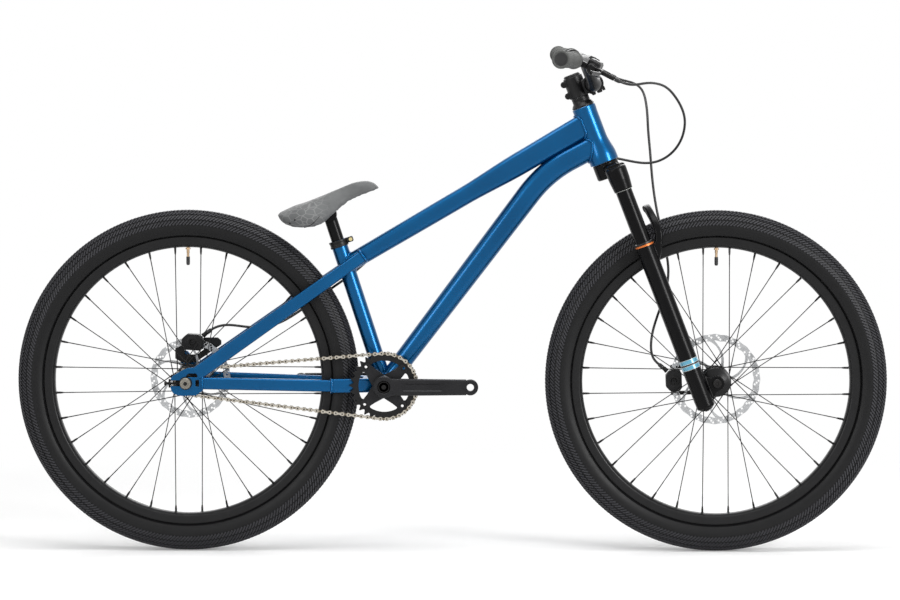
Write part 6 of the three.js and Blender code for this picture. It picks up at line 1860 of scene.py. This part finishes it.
def makeCaliper(name, body, node, place):
    s = caliperSizes
    bm, parts, pads = bmesh.new(), bmesh.new(), bmesh.new()
    long, tall, cut = s["length"] / 2, s["height"] / 2, s["bevel"]
    turned = place @ crossTurn
    outline = [(-long, 9 - tall), (7 - long, -tall), (long - 7, -tall), (long, 9 - tall), (long, tall - cut),
               (long - 4, tall - cut + 5), (long - cut, tall), (cut - long, tall), (4 - long, tall - cut + 5),
               (-long, tall - cut)]
    for low, high in ((-s["width"] / 2, -s["slot"] / 2 - 1), (s["slot"] / 2 + 1, s["width"] / 2)):
        plate(bm, outline, low + 0.4, high - 0.4, place)
    block(bm, (2 * long - 22, 10, 6), (0, 0, tall - 3.4), place, 2, 2)  # the bridge, beyond the rotor
    for side in (-1, 1):
        lathe(bm, mirrored(s["cap"], side), 40, turned, closed=False)
    for end in (-1, 1):
        block(bm, (9, 12, 12), (end * (long - 5), 14 - 6.4, -tall + 8), place, 2.5, 3)
    addPiece(name, bm, "black", body, [node], voxel=0.8, smooth=9)
    lathe(parts, softProfile(s["leftPlug"], 0.4, 2), 36, turned)
    lathe(parts, s["rightPlug"], 36, turned, closed=False)
    lathe(parts, s["port"], 24, place @ turnTo(Vector(s["portWay"]).normalized(), s["portAt"]), closed=False)
    for end in (-1, 1):
        spot = place @ Matrix.Translation((end * (long - 5), 8, -tall + 14))
        lathe(parts, s["bolt"], 20, spot, closed=False)
    lathe(parts, s["pin"], 12, place @ Matrix.Translation((0, 0, 12.4)) @ crossTurn, closed=False)
    addPiece(name + "_parts", parts, "black_steel", body)
    for side in (-1, 1):
        block(pads, s["pad"], (0, side * 2, -4.6), place, 0.3, 1)
    addPiece(name + "_pads", pads, "pads", body, slot="brass")


rearBracketSizes = dict(
    low=57.4, high=65, room=((-12, 46), (12, 46), (26, 56), (26, 62), (-12, 56)),
    outline=((-31, 38), (-31, 58), (-24, 64), (30, 80), (54, 80), (61, 74), (61, 66), (52, 60), (30, 44),
             (10, 31),
             (-8, 28.4), (-20, 31)),
)


def makeRearBracket():
    s = rearBracketSizes
    bm = bmesh.new()
    plate(bm, s["outline"], s["low"], s["high"], Matrix.Translation(rearAxle), [s["room"]])
    addPiece("rearBracket", bm, "black", "frame", ["rear_caliper_bracket"], bevel=0.8, sharp=30)


makeCrown()
makeStanchions()
for side, name in sides:
    makeLeg(side, name)
makeArch()
makeAxle("frontAxle", frontAxle, "frontHead", "frontRod", "black_steel", "lowers", "front_axle")
makeAxle("rearAxle", rearAxle, "rearHead", "rearRod", "axle", "frame", "rear_axle")
makeAxleSocketShades()
for side, name in sides:
    makeTensioner(side, name)
makeCaliper("frontCaliper", "lowers", "front_caliper", frontCaliper)
makeCaliper("rearCaliper", "frame", "rear_caliper", rearCaliper)
makeRearBracket()
print("fork and brakes made")


# Hose routes in millimetres, in the frames of the CAD source's tables of the same names.
rearHoseBarRoute = [
    (103, 0.9018, 126.7), (125.9, 0.7984, 122.3), (147, 0.6482, 113.1), (165.9, 0.4697, 95.2),
    (176.5, 0.3194, 64.3), (179.2, 0.1879, 37.6),
]
frontHoseBarRoute = [
    (98, 0.9065, 130), (114, 0.836, 120), (122, 0.7515, 106), (123, 0.6575, 92), (116, 0.5542, 60),
    (104, 0.465, 25),
]
rearHoseHeadRoute = [
    (175.4, -15, 16.6), (159.3, 18, -11.5), (136, 38, -30.4), (105.8, 52, -39.2), (80.3, 57, -35.9),
    (56.2, 57, -23.5), (33.1, 55, -8.2), (9.7, 50, 6.1),
]
frontHoseForkRoute = [
    (92, 90, -18), (78, 86, -65), (66, 85, -115), (58, 84, -165), (52, 85, -210), (44, 87, -248),
    (26, 89, -284), (-2, 88, -318), (-32, 76, -355), (-47, 63, -385), (-50, 52, -408),
]
rearHoseTubeRoute = [
    (0.951, 43, -56.2), (0.9044, 34, -29.3), (0.8558, 24, -6.4), (0.7894, 6, 9.6), (0.6561, 0, 11.4),
    (0.4479, 0, 11.2), (0.2496, 2, 0.8), (0.1674, 6, -5.2), (0.1078, 12, -10.4), (0.0556, 17.5, -16),
    (0.0144, 21.5, -21),
]
rearHoseStayRoute = [
    (314, 25.5, 202.5), (300, 30, 192.5), (280, 37, 178.5), (254, 41, 159.5), (224.5, 43, 138.5),
    (195, 45, 119), (172, 46, 107.5), (146, 47.5, 101.5), (119, 50, 101), (91, 54, 104.5), (66, 57, 106.5),
]
hoseSizes = dict(radius=2.5, collar=4.2, spacing=4, relaxing=24, outletAhead=80, outletIn=-30)


def hoseStart(side, route):
    place = leverPlace(side)
    spots = [place @ Vector((hoseSizes["outletAhead"] + reach, 0, hoseSizes["outletIn"])) for reach in (1,
                                                                                                        14)]
    wide = (steerFrame.inverted() @ spots[1]).y
    return spots + [steerFrame @ Vector((ahead, share * wide, up)) for ahead, share, up in route]


def hoseEnd(place):
    corner, way = Vector(caliperSizes["portAt"]), Vector(caliperSizes["portWay"]).normalized()
    return [place @ (corner + reach * way) for reach in (22, 9)]


# A centripetal curve through the points, as the CAD source's hoses follow.
def centripetal(points, perSpan):
    ends = [2 * points[0] - points[1], *points, 2 * points[-1] - points[-2]]
    out = []
    for p0, p1, p2, p3 in zip(ends, ends[1:], ends[2:], ends[3:]):
        t1 = math.sqrt((p1 - p0).length)
        t2 = t1 + math.sqrt((p2 - p1).length)
        t3 = t2 + math.sqrt((p3 - p2).length)
        for step in range(perSpan):
            t = lerp(t1, t2, step / perSpan)
            a1 = lerp(p0, p1, t / t1)
            a2 = lerp(p1, p2, (t - t1) / (t2 - t1))
            a3 = lerp(p2, p3, (t - t2) / (t3 - t2))
            out.append(lerp(lerp(a1, a2, t / t2), lerp(a2, a3, (t - t1) / (t3 - t1)), (t - t1) / (t2 - t1)))
    return out + [points[-1]]


# Rounds a hose's corners: its points move towards the middle of their neighbours,
# as if it ran on at both ends.
def relaxed(points, times):
    before = [points[0] + (times - step) * (points[0] - points[1]) for step in range(times)]
    after = [points[-1] + (step + 1) * (points[-1] - points[-2]) for step in range(times)]
    line = before + points + after
    for _ in range(times):
        moved = [lerp(at, (back + ahead) / 2, 0.5) for back, at, ahead in zip(line, line[1:], line[2:])]
        line = line[:1] + moved + line[-1:]
    return line[times:-times]


def makeHose(name, node, points):
    s = hoseSizes
    path = relaxed(evenLine(centripetal(points, 8), s["spacing"]), s["relaxing"])
    bm = bmesh.new()
    sweep(bm, circleOutline(s["radius"], 16), path, side=Vector((0.2, 1, 0.3)))
    sleeves = bmesh.new()
    wide = s["collar"]
    sleeve = [(2.4, 0), (wide - 0.6, 0), (wide, -0.8), (wide, -9), (wide - 1, -12), (2.4, -12.4)]
    for spot, inward in ((path[0], path[2]), (path[-1], path[-3])):
        lathe(sleeves, sleeve, 20, turnTo((spot - inward).normalized(), spot))
    piece = addPiece(name, bm, "hose", None, [node], sharp=40)
    ends = addPiece(name + "_sleeves", sleeves, "hose", None, sharp=40)
    for made in (piece, ends):
        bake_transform(made)


def rearHosePoints():
    seatEnd, headEnd = topTubeEnds()
    above = (headEnd - seatEnd).normalized().cross(across)
    tube = [lerp(seatEnd, headEnd, share) + left * across + up * above for share, left,
            up in rearHoseTubeRoute]
    steered = hoseStart(-1, rearHoseBarRoute) + [steerFrame @ Vector(point) for point in rearHoseHeadRoute]
    stay = [rearAxle + Vector(point) for point in rearHoseStayRoute]
    return steered + tube + stay + hoseEnd(rearCaliper)


frontHosePoints = hoseStart(1, frontHoseBarRoute)
frontHosePoints += [steerFrame @ Vector(point) for point in frontHoseForkRoute]
makeHose("rearHose", "rear_hose", rearHosePoints())
makeHose("frontHose", "front_hose", frontHosePoints + hoseEnd(frontCaliper))
print("hoses made")
